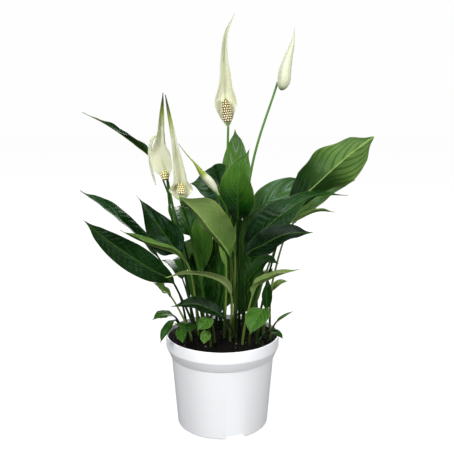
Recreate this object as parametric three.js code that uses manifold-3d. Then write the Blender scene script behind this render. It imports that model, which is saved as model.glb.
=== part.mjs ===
// Potted peace lily: a leafy plant with six blooms, standing in soil in a plain nursery pot.
// Millimetres, +Z up, the front of the plant towards -Y and its right-hand side towards +X.
// The origin is the middle of the pot's foot, on the surface that the pot stands on.

import * as THREE from 'three';
import { mergeVertices } from 'three/addons/utils/BufferGeometryUtils.js';
import Module from 'manifold-3d';

const wasm = await Module();
wasm.setup();

// ---------------------------------------------------------------- driving dimensions

const GAP = 0.3; // clearance between pieces that touch on the real plant
const HOLE_GAP = 0.42; // clearance round a stem in the soil

const POT = {
  height: 98.4,
  rimRadius: 60,
  wall: 1.4,
  lipHeight: 86.4, // the collar is upright above this and bevelled below it
  collarHeight: 76.1, // lower edge of the collar
  collarRadius: 55.5,
  bodyRadius: 54.5, // just under the collar
  footRadius: 48.4,
  footRounding: 1.6,
  lipRounding: 0.5,
  innerFootRadius: 47.4,
  innerCollarHeight: 75.3,
  innerLipHeight: 87,
  channelHeight: 4.5, // raised ring under the floor that the drain holes open into
  channelOuter: 44,
  channelInner: 35,
  channelSlope: 0.8, // how far the sides of that ring lean
  notchWidth: 21,
  notchLeftSlope: 1,
  notchRightSlope: 3,
  notchCount: 3,
  notchAngle: -73, // degrees from +X, so a little right of the front
  drainCount: 6,
  drainRadius: 2.5,
  drainSides: 8,
  sides: 36,
};

const SOIL = {
  edgeHeight: 93.6,
  middleHeight: 96.2,
  crumb: 0.7, // height of the crumbs on its surface
  crumbWaves: [[0.9, 1.3], [1.1, -0.7]], // two crossing waves, radians per millimetre
  rings: 4,
  sides: 26,
};

const STEM_FOOT = 84; // how deep the stems reach into the soil
const STEM_COLLAR = 100; // they stand straight up to here

const PETIOLE = { foot: 1.35, neck: 0.9 }; // radius at the soil and under the blade
const BLADE = {
  halfThickness: 0.45,
  leastHalfWidth: 0.8,
  widest: 0.42,
  taper: 1.1,
  levelling: 0.5, // the part of its fold that each half loses towards its edge
  unfolded: 0.2, // it has opened to its full fold here,
  closing: 0.75, // closes again from here
  tipFold: 0.4, // and keeps this much of its fold at its tip
  turnStart: 0.35, // a blade with a second face turns to it between these
  turnEnd: 0.75,
  pointStart: 0.82,
  pointEnd: 0.96,
  point: 0.5, // how much narrower the drawn-out point is than the rest of its outline
};
const LONG_PETIOLE = 60; // a petiole longer than this gets more cross-sections

// Cross-sections: columns of points across a strip, and rows of them along it.
const WIDE_LEAF = { columns: 5, rows: 8, ripples: 1.6 };
const SLIM_LEAF = { columns: 3, rows: 6, ripples: 1.2 };
const SLIM_BELOW = 19; // width under which a leaf counts as slim
const PETIOLE_ROWS = { long: 4, short: 2 };
const STEM = { columns: 4, rows: 7, foot: 1.45, neck: 1.15 };
const SHOOT = {
  radius: 3,
  height: 104,
  leafFoot: { height: 96, out: 0.9 }, // where a petiole starts inside the shoot
  leafTop: { height: 106, out: 1.5 }, // and where it has left it
  leaf: { face: [0, -1, 0.5], width: 30, fold: 18, wave: 1 },
};
const SPATHE = {
  columns: 7,
  rows: 12,
  gap: 0.9, // between its foot and the end of its stem
  leastHalfWidth: 1.2,
  unfolded: 0.12, // it has opened here
  foot: 0.2, // and is drawn in to a pointed foot below here
  closing: 0.8,
  tipFold: 0.5,
};
const FURLED = { sides: 10, rows: 10, overlap: 0.2 };
const SPADIX = {
  sides: 12,
  rows: 10,
  bump: 0.06, // how far its flowers stand out and in, as a part of its radius
  fullest: 0.46,
  taper: 0.25,
  end: 0.25, // radius of its blunt ends, as a part of its full radius
  standOff: 1.1, // distance of its axis from the spathe, in radii
};
const LEAST_CUP = 0.01; // a strip that is flatter than this (radians) is bent by this much

// Each leaf: where its petiole stands, the points its midrib passes from the blade's start to
// its tip, the way its upper face looks, its width, how far (degrees) each half folds up from
// the midrib and how high its edges wave. `widest` and `taper` say where the blade is broadest
// and how drawn out its tip is, and `tipFace` where its upper face looks near the tip.
const LEAVES = {
  leaf_left_1: {
    root: [-22, 29],
    blade: [[-72, 30, 277], [-90, 28, 294], [-107, 22, 308], [-123, 17, 319], [-143, 12, 330]],
    face: [0.4, -0.2, 1], width: 17, fold: 55, wave: 2, widest: 0.26, taper: 1.9,
  },
  leaf_left_2: {
    root: [-32, 14],
    blade: [[-69, 14, 178], [-88, 8, 201], [-108, -4, 224], [-125, -14, 240], [-141, -22, 254]],
    face: [0.2, -0.5, 1], width: 24, fold: 35, wave: 1,
  },
  leaf_left_3: {
    root: [-38, 4],
    blade: [[-50, -14, 156], [-72, -24, 174], [-93, -36, 192], [-114, -46, 211], [-132, -54, 230]],
    face: [-0.3, -1, 0.5], width: 29, fold: 16, wave: 1.5,
  },
  leaf_left_4: {
    root: [-26, -2],
    blade: [[-36, -22, 180], [-49, -25, 191], [-69, -29, 199], [-87, -33, 208], [-100, -37, 217]],
    face: [0.2, -0.1, 1], width: 16, fold: 50, wave: 1,
  },
  leaf_left_5: {
    root: [-30, -6],
    blade: [[-43, -12, 185], [-52, -16, 199], [-62, -21, 216], [-73, -26, 234], [-84, -30, 250]],
    face: [-0.3, -1, 0.3], width: 36, fold: 18, wave: 1.5, widest: 0.36, taper: 1.9,
  },
  leaf_left_6: {
    root: [-20, 6], blade: [[-22, 13, 156], [-22, 13, 176], [-22, 12, 202], [-26, 10, 228]],
    face: [0, -1, 0.2], width: 24, fold: 20, wave: 1, widest: 0.6,
  },
  leaf_left_7: {
    root: [-33, -16], blade: [[-55, 6, 136], [-63, 0, 146], [-72, -4, 154]],
    face: [0.2, -0.5, 1], width: 15, fold: 25, wave: 1,
  },
  leaf_left_8: {
    root: [-45, 8], blade: [[-52, 2, 116], [-63, -6, 120], [-73, -14, 117]],
    face: [0, -0.5, 1], width: 13, fold: 15, wave: 1,
  },
  leaf_left_9: {
    root: [-40, -12], blade: [[-49, -18, 118], [-56, -36, 114], [-62, -46, 104]],
    face: [-0.5, -0.6, 1], width: 12, fold: 20, wave: 0.5,
  },
  leaf_front_1: {
    root: [14, -14],
    blade: [[8, -25, 187], [1, -29, 200], [-12, -38, 218], [-24, -45, 235], [-41, -50, 252]],
    face: [0.6, 0.9, 0.8], width: 50, fold: 35, wave: 2, widest: 0.6, taper: 0.8,
  },
  leaf_front_2: {
    root: [8, -20],
    blade: [[9, -32, 149], [0, -42, 165], [-18, -52, 175], [-36, -58, 178], [-54, -60, 175]],
    face: [0.2, 0.6, 1], width: 16, fold: 25, wave: 1,
  },
  leaf_front_3: {
    root: [14, -24], blade: [[1, -32, 126], [-12, -38, 136], [-28, -46, 144], [-50, -54, 144]],
    face: [-0.1, -0.7, 1], width: 20, fold: 20, wave: 1.5,
  },
  leaf_front_4: {
    root: [-8, -24], blade: [[-13, -38, 127], [-17, -47, 124], [-25, -54, 120]],
    face: [-0.3, -1, 0.8], width: 16, fold: 20, wave: 0.5,
  },
  leaf_front_5: {
    root: [-20, -20], blade: [[-27, -30, 116], [-36, -40, 117], [-47, -48, 125]],
    face: [-0.2, -0.8, 1], width: 12, fold: 20, wave: 0.5,
  },
  leaf_front_6: {
    root: [-38, -24], blade: [[-42, -33, 114], [-41, -43, 110], [-39, -50, 105]],
    face: [0, -1, 1], width: 11, fold: 25, wave: 0.5,
  },
  leaf_front_7: {
    root: [-12, -34], blade: [[-14, -41, 114], [-17, -48, 110], [-18, -53, 105]],
    face: [0, -1, 1], width: 11, fold: 20, wave: 0.5,
  },
  leaf_front_8: {
    root: [36, -16], blade: [[43, -27, 133], [35, -42, 128], [27, -53, 115]],
    face: [-0.5, -1, 1], width: 26, fold: 18, wave: 1,
  },
  leaf_front_9: {
    root: [28, -22], blade: [[34, -28, 126], [38, -34, 121], [42, -41, 118]],
    face: [0.2, -1, 1], width: 12, fold: 20, wave: 0.5,
  },
  leaf_middle_1: {
    root: [18, 0], blade: [[16, -7, 221], [16, -10, 240], [17, -14, 266], [27, -13, 294]],
    face: [-0.35, -1, 0.3], width: 40, fold: 22, wave: 1.5,
  },
  leaf_middle_2: {
    root: [10, 20], blade: [[9, 22, 232], [12, 21, 265], [14, 19, 291], [13, 16, 313]],
    face: [0, -1, 0.3], width: 27, fold: 16, wave: 1,
  },
  leaf_middle_3: {
    root: [-8, 14], blade: [[13, 14, 247], [1, 12, 254], [-13, 8, 256], [-33, 1, 258]],
    face: [0.2, -1, 0.25], width: 46, fold: 6, wave: 1,
  },
  leaf_middle_4: {
    root: [2, -12], blade: [[4, -14, 173], [1, -14, 186], [-4, -13, 197]],
    face: [-0.3, -1, 0.2], width: 6, fold: 30, wave: 0,
  },
  leaf_middle_5: {
    root: [12, -6], blade: [[13, -18, 186], [11, -19, 204], [14, -20, 221]],
    face: [0, -1, 0.2], width: 6, fold: 30, wave: 0,
  },
  leaf_right_1: {
    root: [38, 10],
    blade: [[72, 7, 233], [92, 9, 251], [113, 12, 270], [134, 15, 288], [157, 16, 305]],
    face: [-0.4, 0.85, 0.35], tipFace: [0.15, 0.95, -0.3], width: 53, fold: 25, wave: 2,
    widest: 0.45, taper: 0.75,
  },
  leaf_right_2: {
    root: [24, -6],
    blade: [[24, -22, 195], [42, -28, 216], [64, -31, 235], [90, -32, 250], [123, -34, 251]],
    face: [-0.2, -1, 0.7], tipFace: [0, -0.45, 1.2], width: 34, fold: 20, wave: 2,
    widest: 0.34, taper: 1.5,
  },
  leaf_right_3: {
    root: [24, 12], blade: [[27, 12, 220], [43, 14, 234], [64, 16, 248], [88, 18, 263]],
    face: [-0.2, -1, 0.6], width: 33, fold: 20, wave: 1, widest: 0.5,
  },
  leaf_right_4: {
    root: [30, 18], blade: [[70, 26, 210], [95, 32, 230], [119, 35, 246], [143, 35, 258]],
    face: [-0.3, -0.8, 1], width: 18, fold: 25, wave: 1,
  },
  leaf_right_5: {
    root: [44, 2], blade: [[70, 2, 212], [85, 0, 224], [99, -4, 230], [115, -8, 230]],
    face: [-0.2, -0.1, 1], width: 11, fold: 45, wave: 0.5,
  },
  leaf_right_6: {
    root: [22, -14], blade: [[24, -31, 189], [41, -41, 203], [61, -50, 215], [86, -60, 219]],
    face: [-0.1, -0.9, 0.9], width: 29, fold: 18, wave: 1.5,
  },
  leaf_right_7: {
    root: [30, -8], blade: [[26, -6, 154], [36, -6, 169], [47, -8, 179], [58, -12, 177]],
    face: [0, -0.6, 1], width: 18, fold: 25, wave: 0.5,
  },
  leaf_right_8: {
    root: [21, -27],
    blade: [[30, -26, 145], [35, -29, 158], [45, -34, 165], [58, -38, 172], [76, -43, 179]],
    face: [0.1, -0.2, 1], width: 20, fold: 42, wave: 1,
  },
  leaf_right_9: {
    root: [51, 9], blade: [[53, 8, 142], [60, 6, 151], [69, 4, 154]],
    face: [0, -0.8, 1], width: 8, fold: 20, wave: 0,
  },
  leaf_right_10: {
    root: [40, -10], blade: [[46, -10, 127], [46, -12, 144], [48, -10, 160]],
    face: [0.2, -1, 0.1], width: 12, fold: 25, wave: 0.5,
  },
  leaf_right_11: {
    root: [50, -14], blade: [[57, -4, 111], [65, -4, 117], [74, -4, 123]],
    face: [0, -0.4, 1], width: 5, fold: 40, wave: 0,
  },
  leaf_right_12: {
    root: [38, -28], blade: [[49, -26, 108], [56, -31, 108], [62, -34, 104]],
    face: [0.2, -0.6, 1], width: 9, fold: 20, wave: 0.5,
  },
  leaf_back_1: {
    root: [-21, 36], blade: [[-29, 46, 142], [-35, 56, 188], [-51, 88, 218], [-63, 118, 212]],
    face: [-0.3, 0.6, 1], width: 36, fold: 14, wave: 2,
  },
  leaf_back_2: {
    root: [2, 34], blade: [[8, 62, 206], [16, 92, 232], [20, 128, 222]],
    face: [0, 0.6, 1], width: 38, fold: 14, wave: 2,
  },
  leaf_back_3: {
    root: [30, 36], blade: [[44, 52, 188], [68, 78, 208], [88, 104, 198]],
    face: [0.3, 0.6, 1], width: 34, fold: 14, wave: 2,
  },
  leaf_back_4: {
    root: [-32, 30], blade: [[-46, 56, 142], [-58, 78, 158], [-66, 98, 148]],
    face: [-0.3, 0.6, 1], width: 28, fold: 16, wave: 1.5,
  },
  leaf_back_5: {
    root: [38, 31], blade: [[40, 56, 134], [46, 78, 146], [54, 98, 136]],
    face: [0.3, 0.6, 1], width: 26, fold: 16, wave: 1.5,
  },
};

// Young shoots among the petioles: several leaves that grow out of one short sheathed stem.
const SHOOTS = {
  shoot_1: {
    root: [-14, 22],
    blades: [
      [[-19, 23, 118], [-24, 22, 152], [-31, 21, 192]],
      [[-10, 31, 112], [-7, 43, 150], [-9, 50, 200]],
    ],
  },
  shoot_2: {
    root: [-2, 24],
    blades: [
      [[2, 30, 116], [8, 38, 175], [17, 44, 256]],
      [[-4, 26, 112], [-4, 28, 146], [-5, 29, 188]],
    ],
  },
  shoot_3: {
    root: [13, 32],
    blades: [
      [[20, 28, 112], [30, 30, 146], [40, 31, 180]],
      [[17, 42, 112], [22, 52, 146], [27, 58, 186]],
      [[25, 31, 112], [30, 29, 170], [27, 32, 246]],
    ],
  },
};

// Each bloom: where its stem stands, the points its stem passes, and the points its spathe
// follows from the stem's end (or from `foot`, beside the stem) to its tip. An open spathe turns
// its halves forward by the two cup angles (degrees, near its foot and near its tip), passing
// from one to the other between the two `close` places. A furled spathe has a thickness.
const BLOOMS = {
  bloom_1: {
    root: [2, 6], stem: [[5, 4, 273], [6, 0, 314]],
    spathe: [[4, 1, 334], [3, 3, 348], [3, 4, 364], [2, 5, 382], [4, 3, 406], [12, 0, 425]],
    face: [0, -1, 0.1], width: 25, widest: 0.25, taper: 1.3, cup: [38, 108], close: [0.12, 0.5],
    spadix: { start: 6, length: 22, radius: 5.4 },
  },
  bloom_2: {
    root: [14, 14], stem: [[31, 18, 274], [56.5, 21.7, 359]], foot: [60, 18, 352],
    spathe: [[63, 17, 361], [64, 17, 371], [67, 17, 384], [71, 16, 399], [73, 15, 415]],
    thickness: 13, widest: 0.28, taper: 1.4,
  },
  bloom_3: {
    root: [-24, 10], stem: [[-53, -4, 229], [-55, -12, 261]],
    spathe: [[-57, -10, 272], [-60, -9, 283], [-61, -8, 297], [-60, -8, 312], [-58, -11, 349]],
    face: [-0.2, -1, 0.1], width: 25, widest: 0.42, taper: 1.15, cup: [58, 115], close: [0.45, 0.7],
    spadix: { start: 1, length: 10, radius: 4.2 },
  },
  bloom_4: {
    root: [-14, 0], stem: [[-33, -8, 209], [-41, -24, 243]],
    spathe: [[-41, -22, 254], [-42, -21, 266], [-44, -20, 281], [-47, -20, 302], [-55, -18, 347]],
    face: [0.1, -1, 0.1], width: 26, widest: 0.22, taper: 0.95, cup: [38, 112], close: [0.18, 0.38],
    spadix: { start: 6, length: 12, radius: 4.5 },
  },
  bloom_5: {
    root: [-33, 22], stem: [[-50, 13, 220], [-62, 7, 290]],
    spathe: [[-66, 5, 305], [-70, 3, 304], [-73, 1, 291], [-72, -1, 274], [-68, -3, 257]],
    face: [-0.6, -1, 0.2], width: 5, widest: 0.6, taper: 1.1, cup: [50, 60], close: [0.2, 0.6],
  },
  bloom_6: {
    root: [2, -4], stem: [[5, -14, 230], [-3, -24, 249]],
    spathe: [[-11, -26, 262], [-19, -28, 271], [-26, -30, 281], [-34, -31, 290], [-42, -34, 301]],
    thickness: 8, widest: 0.24, taper: 3.5,
  },
};

// The finish of each piece.
const FINISH = {
  pot: { color: 0xeceef0, roughness: 0.45 },
  soil: { color: 0x17120f, roughness: 0.95 },
  leaf: { color: 0x1f5a1c, roughness: 0.35 },
  paleLeaf: { color: 0x5c8a3a, roughness: 0.45 },
  stem: { color: 0x4d7a2c, roughness: 0.4 },
  spathe: { color: 0xeff0dc, roughness: 0.5 },
  spadix: { color: 0xe6dca0, roughness: 0.7 },
};
const PALE_LEAVES = [
  'leaf_left_4',
  'leaf_left_7',
  'leaf_front_1',
  'leaf_front_2',
  'leaf_right_1',
  'leaf_right_5',
  'leaf_right_8',
  'leaf_right_9',
];

// ---------------------------------------------------------------- small helpers

const radians = THREE.MathUtils.degToRad;
const { lerp, smoothstep } = THREE.MathUtils;

function solidOf(geometry) {
  geometry.deleteAttribute('normal');
  geometry.deleteAttribute('uv');
  const welded = mergeVertices(geometry, 1e-4);
  const vertProperties = new Float32Array(welded.attributes.position.array);
  const triVerts = new Uint32Array(welded.index.array);
  return new wasm.Manifold(new wasm.Mesh({ numProp: 3, vertProperties, triVerts }));
}

function geometryOf(solid) {
  const mesh = solid.getMesh();
  const geometry = new THREE.BufferGeometry();
  geometry.setAttribute('position', new THREE.Float32BufferAttribute(mesh.vertProperties, 3));
  geometry.setIndex(Array.from(mesh.triVerts));
  return geometry;
}

// A body of revolution about Z from a closed outline of [radius, height] points.
function revolve(outline, sides) {
  const profile = outline.map(([radius, height]) => new THREE.Vector2(radius, height));
  return new THREE.LatheGeometry(profile, sides).rotateX(Math.PI / 2);
}

// A curve through hand-placed points that doesn't swing out between them.
function curveThrough(points) {
  const through = points.map((point) => new THREE.Vector3(...point));
  return new THREE.CatmullRomCurve3(through, false, 'centripetal');
}

// The two directions across a curve: `up` is the way the upper face looks, `side` is to its right.
function acrossCurve(curve, t, face) {
  const along = curve.getTangent(t);
  const up = face.clone().addScaledVector(along, -face.dot(along)).normalize();
  const side = new THREE.Vector3().crossVectors(along, up);
  return { up, side };
}

// A closed body over a list of rings. Each ring runs over the upper face from left to right and
// back under it, and both faces are split along the same diagonals.
function skin(rings) {
  const count = rings[0].length;
  const columns = count / 2;
  const index = [];
  for (let row = 0; row < rings.length - 1; row++) {
    for (let k = 0; k < count; k++) {
      const next = (k + 1) % count;
      const a = row * count + k;
      const b = row * count + next;
      const c = b + count;
      const d = a + count;
      if (k < columns) index.push(a, b, c, a, c, d);
      else index.push(a, b, d, b, c, d);
    }
  }
  const last = (rings.length - 1) * count;
  for (let k = 0; k < columns - 1; k++) {
    const under = count - 1 - k;
    index.push(k, under, k + 1, k + 1, under, under - 1);
    index.push(last + k, last + k + 1, last + under, last + k + 1, last + under - 1, last + under);
  }
  const geometry = new THREE.BufferGeometry();
  const points = rings.flat().flatMap((point) => point.toArray());
  geometry.setAttribute('position', new THREE.Float32BufferAttribute(points, 3));
  geometry.setIndex(index);
  return geometry;
}

// One ring of a strip. Its halves turn up by `fold` at the midrib and by `cup` more at the edge,
// and it is as thick as a round rod of radius `rib`, but never thinner than a blade.
function stripRing(centre, { up, side }, columns, { halfWidth, rib, fold, cup, lift }) {
  const ring = [];
  const bend = Math.abs(cup) < LEAST_CUP ? LEAST_CUP : cup;
  const place = (column, way) => {
    const angle = Math.PI * (1 - (column + 0.5) / columns);
    const reach = Math.cos(angle) / Math.cos((Math.PI * 0.5) / columns);
    const far = Math.abs(reach);
    const hand = Math.sign(column - (columns - 1) / 2);
    const turn = fold + bend * far;
    const thickness = Math.max(BLADE.halfThickness, rib * Math.sin(angle)) * way;
    const steep = hand === 0 ? 0 : turn;
    const across = (hand * halfWidth * (Math.sin(turn) - Math.sin(fold))) / bend;
    const height = (halfWidth * (Math.cos(fold) - Math.cos(turn))) / bend + lift(far, hand);
    const x = across - hand * Math.sin(steep) * thickness;
    const z = height + Math.cos(steep) * thickness;
    ring.push(centre.clone().addScaledVector(side, x).addScaledVector(up, z));
  };
  for (let column = 0; column < columns; column++) place(column, 1);
  for (let column = columns - 1; column >= 0; column--) place(column, -1);
  return ring;
}

// Width of a blade along its length, from 0 at its start to 1 where it is widest to 0 at its tip.
function outline(u, widest, taper) {
  const rise = (taper * widest) / (1 - widest);
  const value = (v) => v ** rise * (1 - v) ** taper;
  return value(Math.min(Math.max(u, 0), 1)) / value(widest);
}

// How far a strip has opened from its stem and not yet closed towards its tip, from 0 to 1.
function openness(u, { unfolded, closing, tipFold }) {
  return smoothstep(u, 0, unfolded) * lerp(1, tipFold, smoothstep(u, closing, 1));
}

const flat = () => 0;

function rodShape(radius, columns) {
  const halfWidth = radius * Math.cos((Math.PI * 0.5) / columns);
  return { halfWidth, rib: radius, fold: 0, cup: 0, lift: flat };
}

// ---------------------------------------------------------------- stems and leaves

const STEM_FACE = new THREE.Vector3(0, -1, 0);

function rootPoints([x, y]) {
  return [[x, y, STEM_FOOT], [x, y, STEM_COLLAR]];
}

// The hole that a stem stands in: its lowest stretch, wider by the gap all round and below.
function holeFor(curve, face, columns, radius) {
  const collar = 1 / (curve.points.length - 1);
  const centres = [curve.getPoint(0), curve.getPoint(collar)];
  centres[0].z -= GAP;
  const frames = [acrossCurve(curve, 0, face), acrossCurve(curve, collar, face)];
  const wide = rodShape(radius + HOLE_GAP, columns);
  return skin(centres.map((centre, k) => stripRing(centre, frames[k], columns, wide)));
}

function leafCurve(leaf) {
  return curveThrough([...rootPoints(leaf.root), ...leaf.blade]);
}

// A petiole and its blade in one closed body.
function makeLeaf(leaf, curve, { columns, rows, ripples }) {
  const face = new THREE.Vector3(...leaf.face);
  const tipFace = new THREE.Vector3(...(leaf.tipFace ?? leaf.face));
  const collar = 1 / (curve.points.length - 1);
  const bladeStart = 2 * collar;
  const reach = leaf.blade[0][2] - STEM_COLLAR;
  const petioleRows = reach > LONG_PETIOLE ? PETIOLE_ROWS.long : PETIOLE_ROWS.short;
  const stops = [0];
  for (let row = 0; row < petioleRows; row++) {
    stops.push(lerp(collar, bladeStart, row / petioleRows));
  }
  for (let row = 0; row <= rows; row++) stops.push(lerp(bladeStart, 1, row / rows));
  const rings = stops.map((t) => {
    const u = (t - bladeStart) / (1 - bladeStart);
    const facing = face.clone().lerp(tipFace, smoothstep(u, BLADE.turnStart, BLADE.turnEnd));
    const frame = acrossCurve(curve, t, facing);
    const centre = curve.getPoint(t);
    if (u <= 0) {
      const radius = lerp(PETIOLE.foot, PETIOLE.neck, smoothstep(t, collar, bladeStart));
      return stripRing(centre, frame, columns, rodShape(radius, columns));
    }
    const rib = lerp(PETIOLE.neck, BLADE.halfThickness, Math.sqrt(u));
    const open = openness(u, BLADE);
    const spread = outline(u, leaf.widest ?? BLADE.widest, leaf.taper ?? BLADE.taper);
    const point = 1 - BLADE.point * smoothstep(u, BLADE.pointStart, BLADE.pointEnd);
    const halfWidth = Math.max((leaf.width / 2) * spread * point, BLADE.leastHalfWidth);
    const swell = leaf.wave * open * Math.sin(Math.PI * u);
    const lift = (far, hand) => swell * far * far * Math.sin(2 * Math.PI * ripples * u + hand);
    const fold = radians(leaf.fold) * open;
    const cup = -fold * BLADE.levelling;
    return stripRing(centre, frame, columns, { halfWidth, rib, fold, cup, lift });
  });
  return skin(rings);
}

// A short stem with the petioles of its leaves sunk into it.
function makeShoot(shoot) {
  const [x, y] = shoot.root;
  const rod = rodShape(SHOOT.radius, STEM.columns);
  const ends = [new THREE.Vector3(x, y, STEM_FOOT), new THREE.Vector3(x, y, SHOOT.height)];
  const frame = { up: STEM_FACE, side: new THREE.Vector3(1, 0, 0) };
  let whole = solidOf(skin(ends.map((end) => stripRing(end, frame, STEM.columns, rod))));
  for (const blade of shoot.blades) {
    const lean = new THREE.Vector2(blade[0][0] - x, blade[0][1] - y).normalize();
    const within = ({ height, out }) => [x + lean.x * out, y + lean.y * out, height];
    const curve = curveThrough([within(SHOOT.leafFoot), within(SHOOT.leafTop), ...blade]);
    whole = whole.add(solidOf(makeLeaf({ ...SHOOT.leaf, blade }, curve, SLIM_LEAF)));
  }
  return geometryOf(whole);
}

// ---------------------------------------------------------------- blooms

function bloomStemCurve(bloom) {
  return curveThrough([...rootPoints(bloom.root), ...bloom.stem]);
}

function makeStem(bloom) {
  const curve = bloomStemCurve(bloom);
  const collar = 1 / (curve.points.length - 1);
  const stops = [0];
  for (let row = 0; row <= STEM.rows; row++) stops.push(lerp(collar, 1, row / STEM.rows));
  const rings = stops.map((t) => {
    const radius = lerp(STEM.foot, STEM.neck, smoothstep(t, collar, 1));
    const shape = rodShape(radius, STEM.columns);
    return stripRing(curve.getPoint(t), acrossCurve(curve, t, STEM_FACE), STEM.columns, shape);
  });
  return skin(rings);
}

// A spathe without a foot of its own starts just above the end of its stem.
function spatheCurve(bloom) {
  const stem = bloomStemCurve(bloom);
  const above = stem.getPoint(1).addScaledVector(stem.getTangent(1), SPATHE.gap);
  return curveThrough([bloom.foot ?? above.toArray(), ...bloom.spathe]);
}

function makeOpenSpathe(bloom) {
  const curve = spatheCurve(bloom);
  const face = new THREE.Vector3(...bloom.face);
  const rings = [];
  for (let row = 0; row <= SPATHE.rows; row++) {
    const u = row / SPATHE.rows;
    const drawnIn = Math.sqrt(Math.min(u / SPATHE.foot, 1));
    const arc = (bloom.width / 2) * outline(u, bloom.widest, bloom.taper) * drawnIn;
    const cup = lerp(bloom.cup[0], bloom.cup[1], smoothstep(u, ...bloom.close));
    const shape = {
      halfWidth: Math.max(arc, SPATHE.leastHalfWidth),
      rib: lerp(STEM.neck, BLADE.halfThickness, smoothstep(u, 0, SPATHE.unfolded)),
      fold: 0,
      cup: radians(cup) * openness(u, SPATHE),
      lift: flat,
    };
    rings.push(stripRing(curve.getPoint(u), acrossCurve(curve, u, face), SPATHE.columns, shape));
  }
  return skin(rings);
}

// A spathe that is still rolled up: its outer edge overlaps its inner one along a low step.
function makeFurledSpathe(bloom) {
  const curve = spatheCurve(bloom);
  const rings = [];
  for (let row = 0; row <= FURLED.rows; row++) {
    const u = row / FURLED.rows;
    const { up, side } = acrossCurve(curve, u, STEM_FACE);
    const swell = (bloom.thickness / 2) * outline(u, bloom.widest, bloom.taper);
    const radius = Math.max(swell, lerp(STEM.neck, BLADE.halfThickness, u * u));
    const ring = [];
    for (let k = 0; k < FURLED.sides; k++) {
      const turn = k / FURLED.sides;
      const angle = Math.PI - 2 * Math.PI * turn;
      const out = radius * (1 + FURLED.overlap * (turn - 0.5));
      const point = curve.getPoint(u);
      point.addScaledVector(side, out * Math.cos(angle)).addScaledVector(up, out * Math.sin(angle));
      ring.push(point);
    }
    rings.push(ring);
  }
  return skin(rings);
}

// The spadix stands in front of the spathe's middle line, covered in small round flowers.
function makeSpadix(bloom) {
  const curve = spatheCurve(bloom);
  const face = new THREE.Vector3(...bloom.face);
  const { start, length, radius } = bloom.spadix;
  const total = curve.getLength();
  const away = BLADE.halfThickness + GAP + radius * SPADIX.standOff;
  const rings = [];
  for (let row = 0; row <= SPADIX.rows; row++) {
    const s = row / SPADIX.rows;
    const t = curve.getUtoTmapping((start + s * length) / total);
    const { up, side } = acrossCurve(curve, t, face);
    const barrel = Math.sqrt(Math.max(1 - (2 * (s - SPADIX.fullest)) ** 4, 0));
    const size = radius * Math.max(barrel * (1 - SPADIX.taper * s), SPADIX.end);
    const centre = curve.getPoint(t).addScaledVector(up, away);
    const ring = [];
    for (let k = 0; k < SPADIX.sides; k++) {
      const angle = Math.PI - (2 * Math.PI * (k + 0.5)) / SPADIX.sides;
      const bump = 1 + SPADIX.bump * ((row + k) % 2 === 0 ? 1 : -1);
      const out = size * bump;
      const point = centre.clone().addScaledVector(side, out * Math.cos(angle));
      ring.push(point.addScaledVector(up, out * Math.sin(angle)));
    }
    rings.push(ring);
  }
  return skin(rings);
}

// ---------------------------------------------------------------- pot and soil

// Inner face of the pot's wall from its floor up to its lip, drawn in by `inset`.
function innerWall(inset) {
  return [
    [POT.innerFootRadius - inset, POT.channelHeight + POT.wall + inset],
    [POT.bodyRadius - POT.wall - inset, POT.innerCollarHeight],
    [POT.rimRadius - POT.wall - inset, POT.innerLipHeight],
  ];
}

// Upper face of the pot's floor, from the axis outwards, raised by `inset`.
function innerFloor(inset) {
  const dip = POT.channelInner - POT.wall - inset;
  return [
    [0, POT.wall + inset],
    [dip, POT.wall + inset],
    [dip + POT.channelSlope, POT.channelHeight + POT.wall + inset],
  ];
}

function makePot() {
  const round = POT.footRounding;
  const halfway = round * (1 - Math.SQRT1_2);
  const lip = POT.lipRounding;
  const under = [
    [0, 0],
    [POT.channelInner, 0],
    [POT.channelInner + POT.channelSlope, POT.channelHeight],
    [POT.channelOuter, POT.channelHeight],
    [POT.channelOuter + POT.channelSlope, 0],
    [POT.footRadius - round, 0],
    [POT.footRadius - halfway, halfway],
    [POT.footRadius, round],
  ];
  const outside = [
    [POT.bodyRadius, POT.collarHeight],
    [POT.collarRadius, POT.collarHeight],
    [POT.rimRadius, POT.lipHeight],
    [POT.rimRadius, POT.height - lip],
    [POT.rimRadius - lip, POT.height],
    [POT.rimRadius - POT.wall + lip, POT.height],
    [POT.rimRadius - POT.wall, POT.height - lip],
  ];
  const profile = [...under, ...outside, ...innerWall(0).reverse(), ...innerFloor(0).reverse()];
  let pot = solidOf(revolve(profile, POT.sides));
  for (let k = 0; k < POT.notchCount; k++) {
    const angle = radians(POT.notchAngle + (360 / POT.notchCount) * k);
    pot = pot.subtract(solidOf(notchAt(angle)));
  }
  for (let k = 0; k < POT.drainCount; k++) {
    const angle = radians((360 / POT.drainCount) * k);
    pot = pot.subtract(solidOf(drainAt(angle)));
  }
  return geometryOf(pot);
}

// A trapezium cut through the foot, so that the channel under the floor can drain.
function notchAt(angle) {
  const half = POT.notchWidth / 2;
  const top = POT.channelHeight;
  const margin = 1; // the cut starts inside the channel and ends outside the pot
  const shape = new THREE.Shape();
  shape.moveTo(-half, -margin);
  shape.lineTo(half, -margin);
  shape.lineTo(half - POT.notchRightSlope, top);
  shape.lineTo(-half + POT.notchLeftSlope, top);
  const depth = POT.footRadius - POT.channelOuter + 2 * margin;
  const cut = new THREE.ExtrudeGeometry(shape, { depth, bevelEnabled: false });
  cut.rotateX(Math.PI / 2).translate(0, margin - POT.channelOuter, 0);
  return cut.rotateZ(angle + Math.PI / 2);
}

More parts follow.
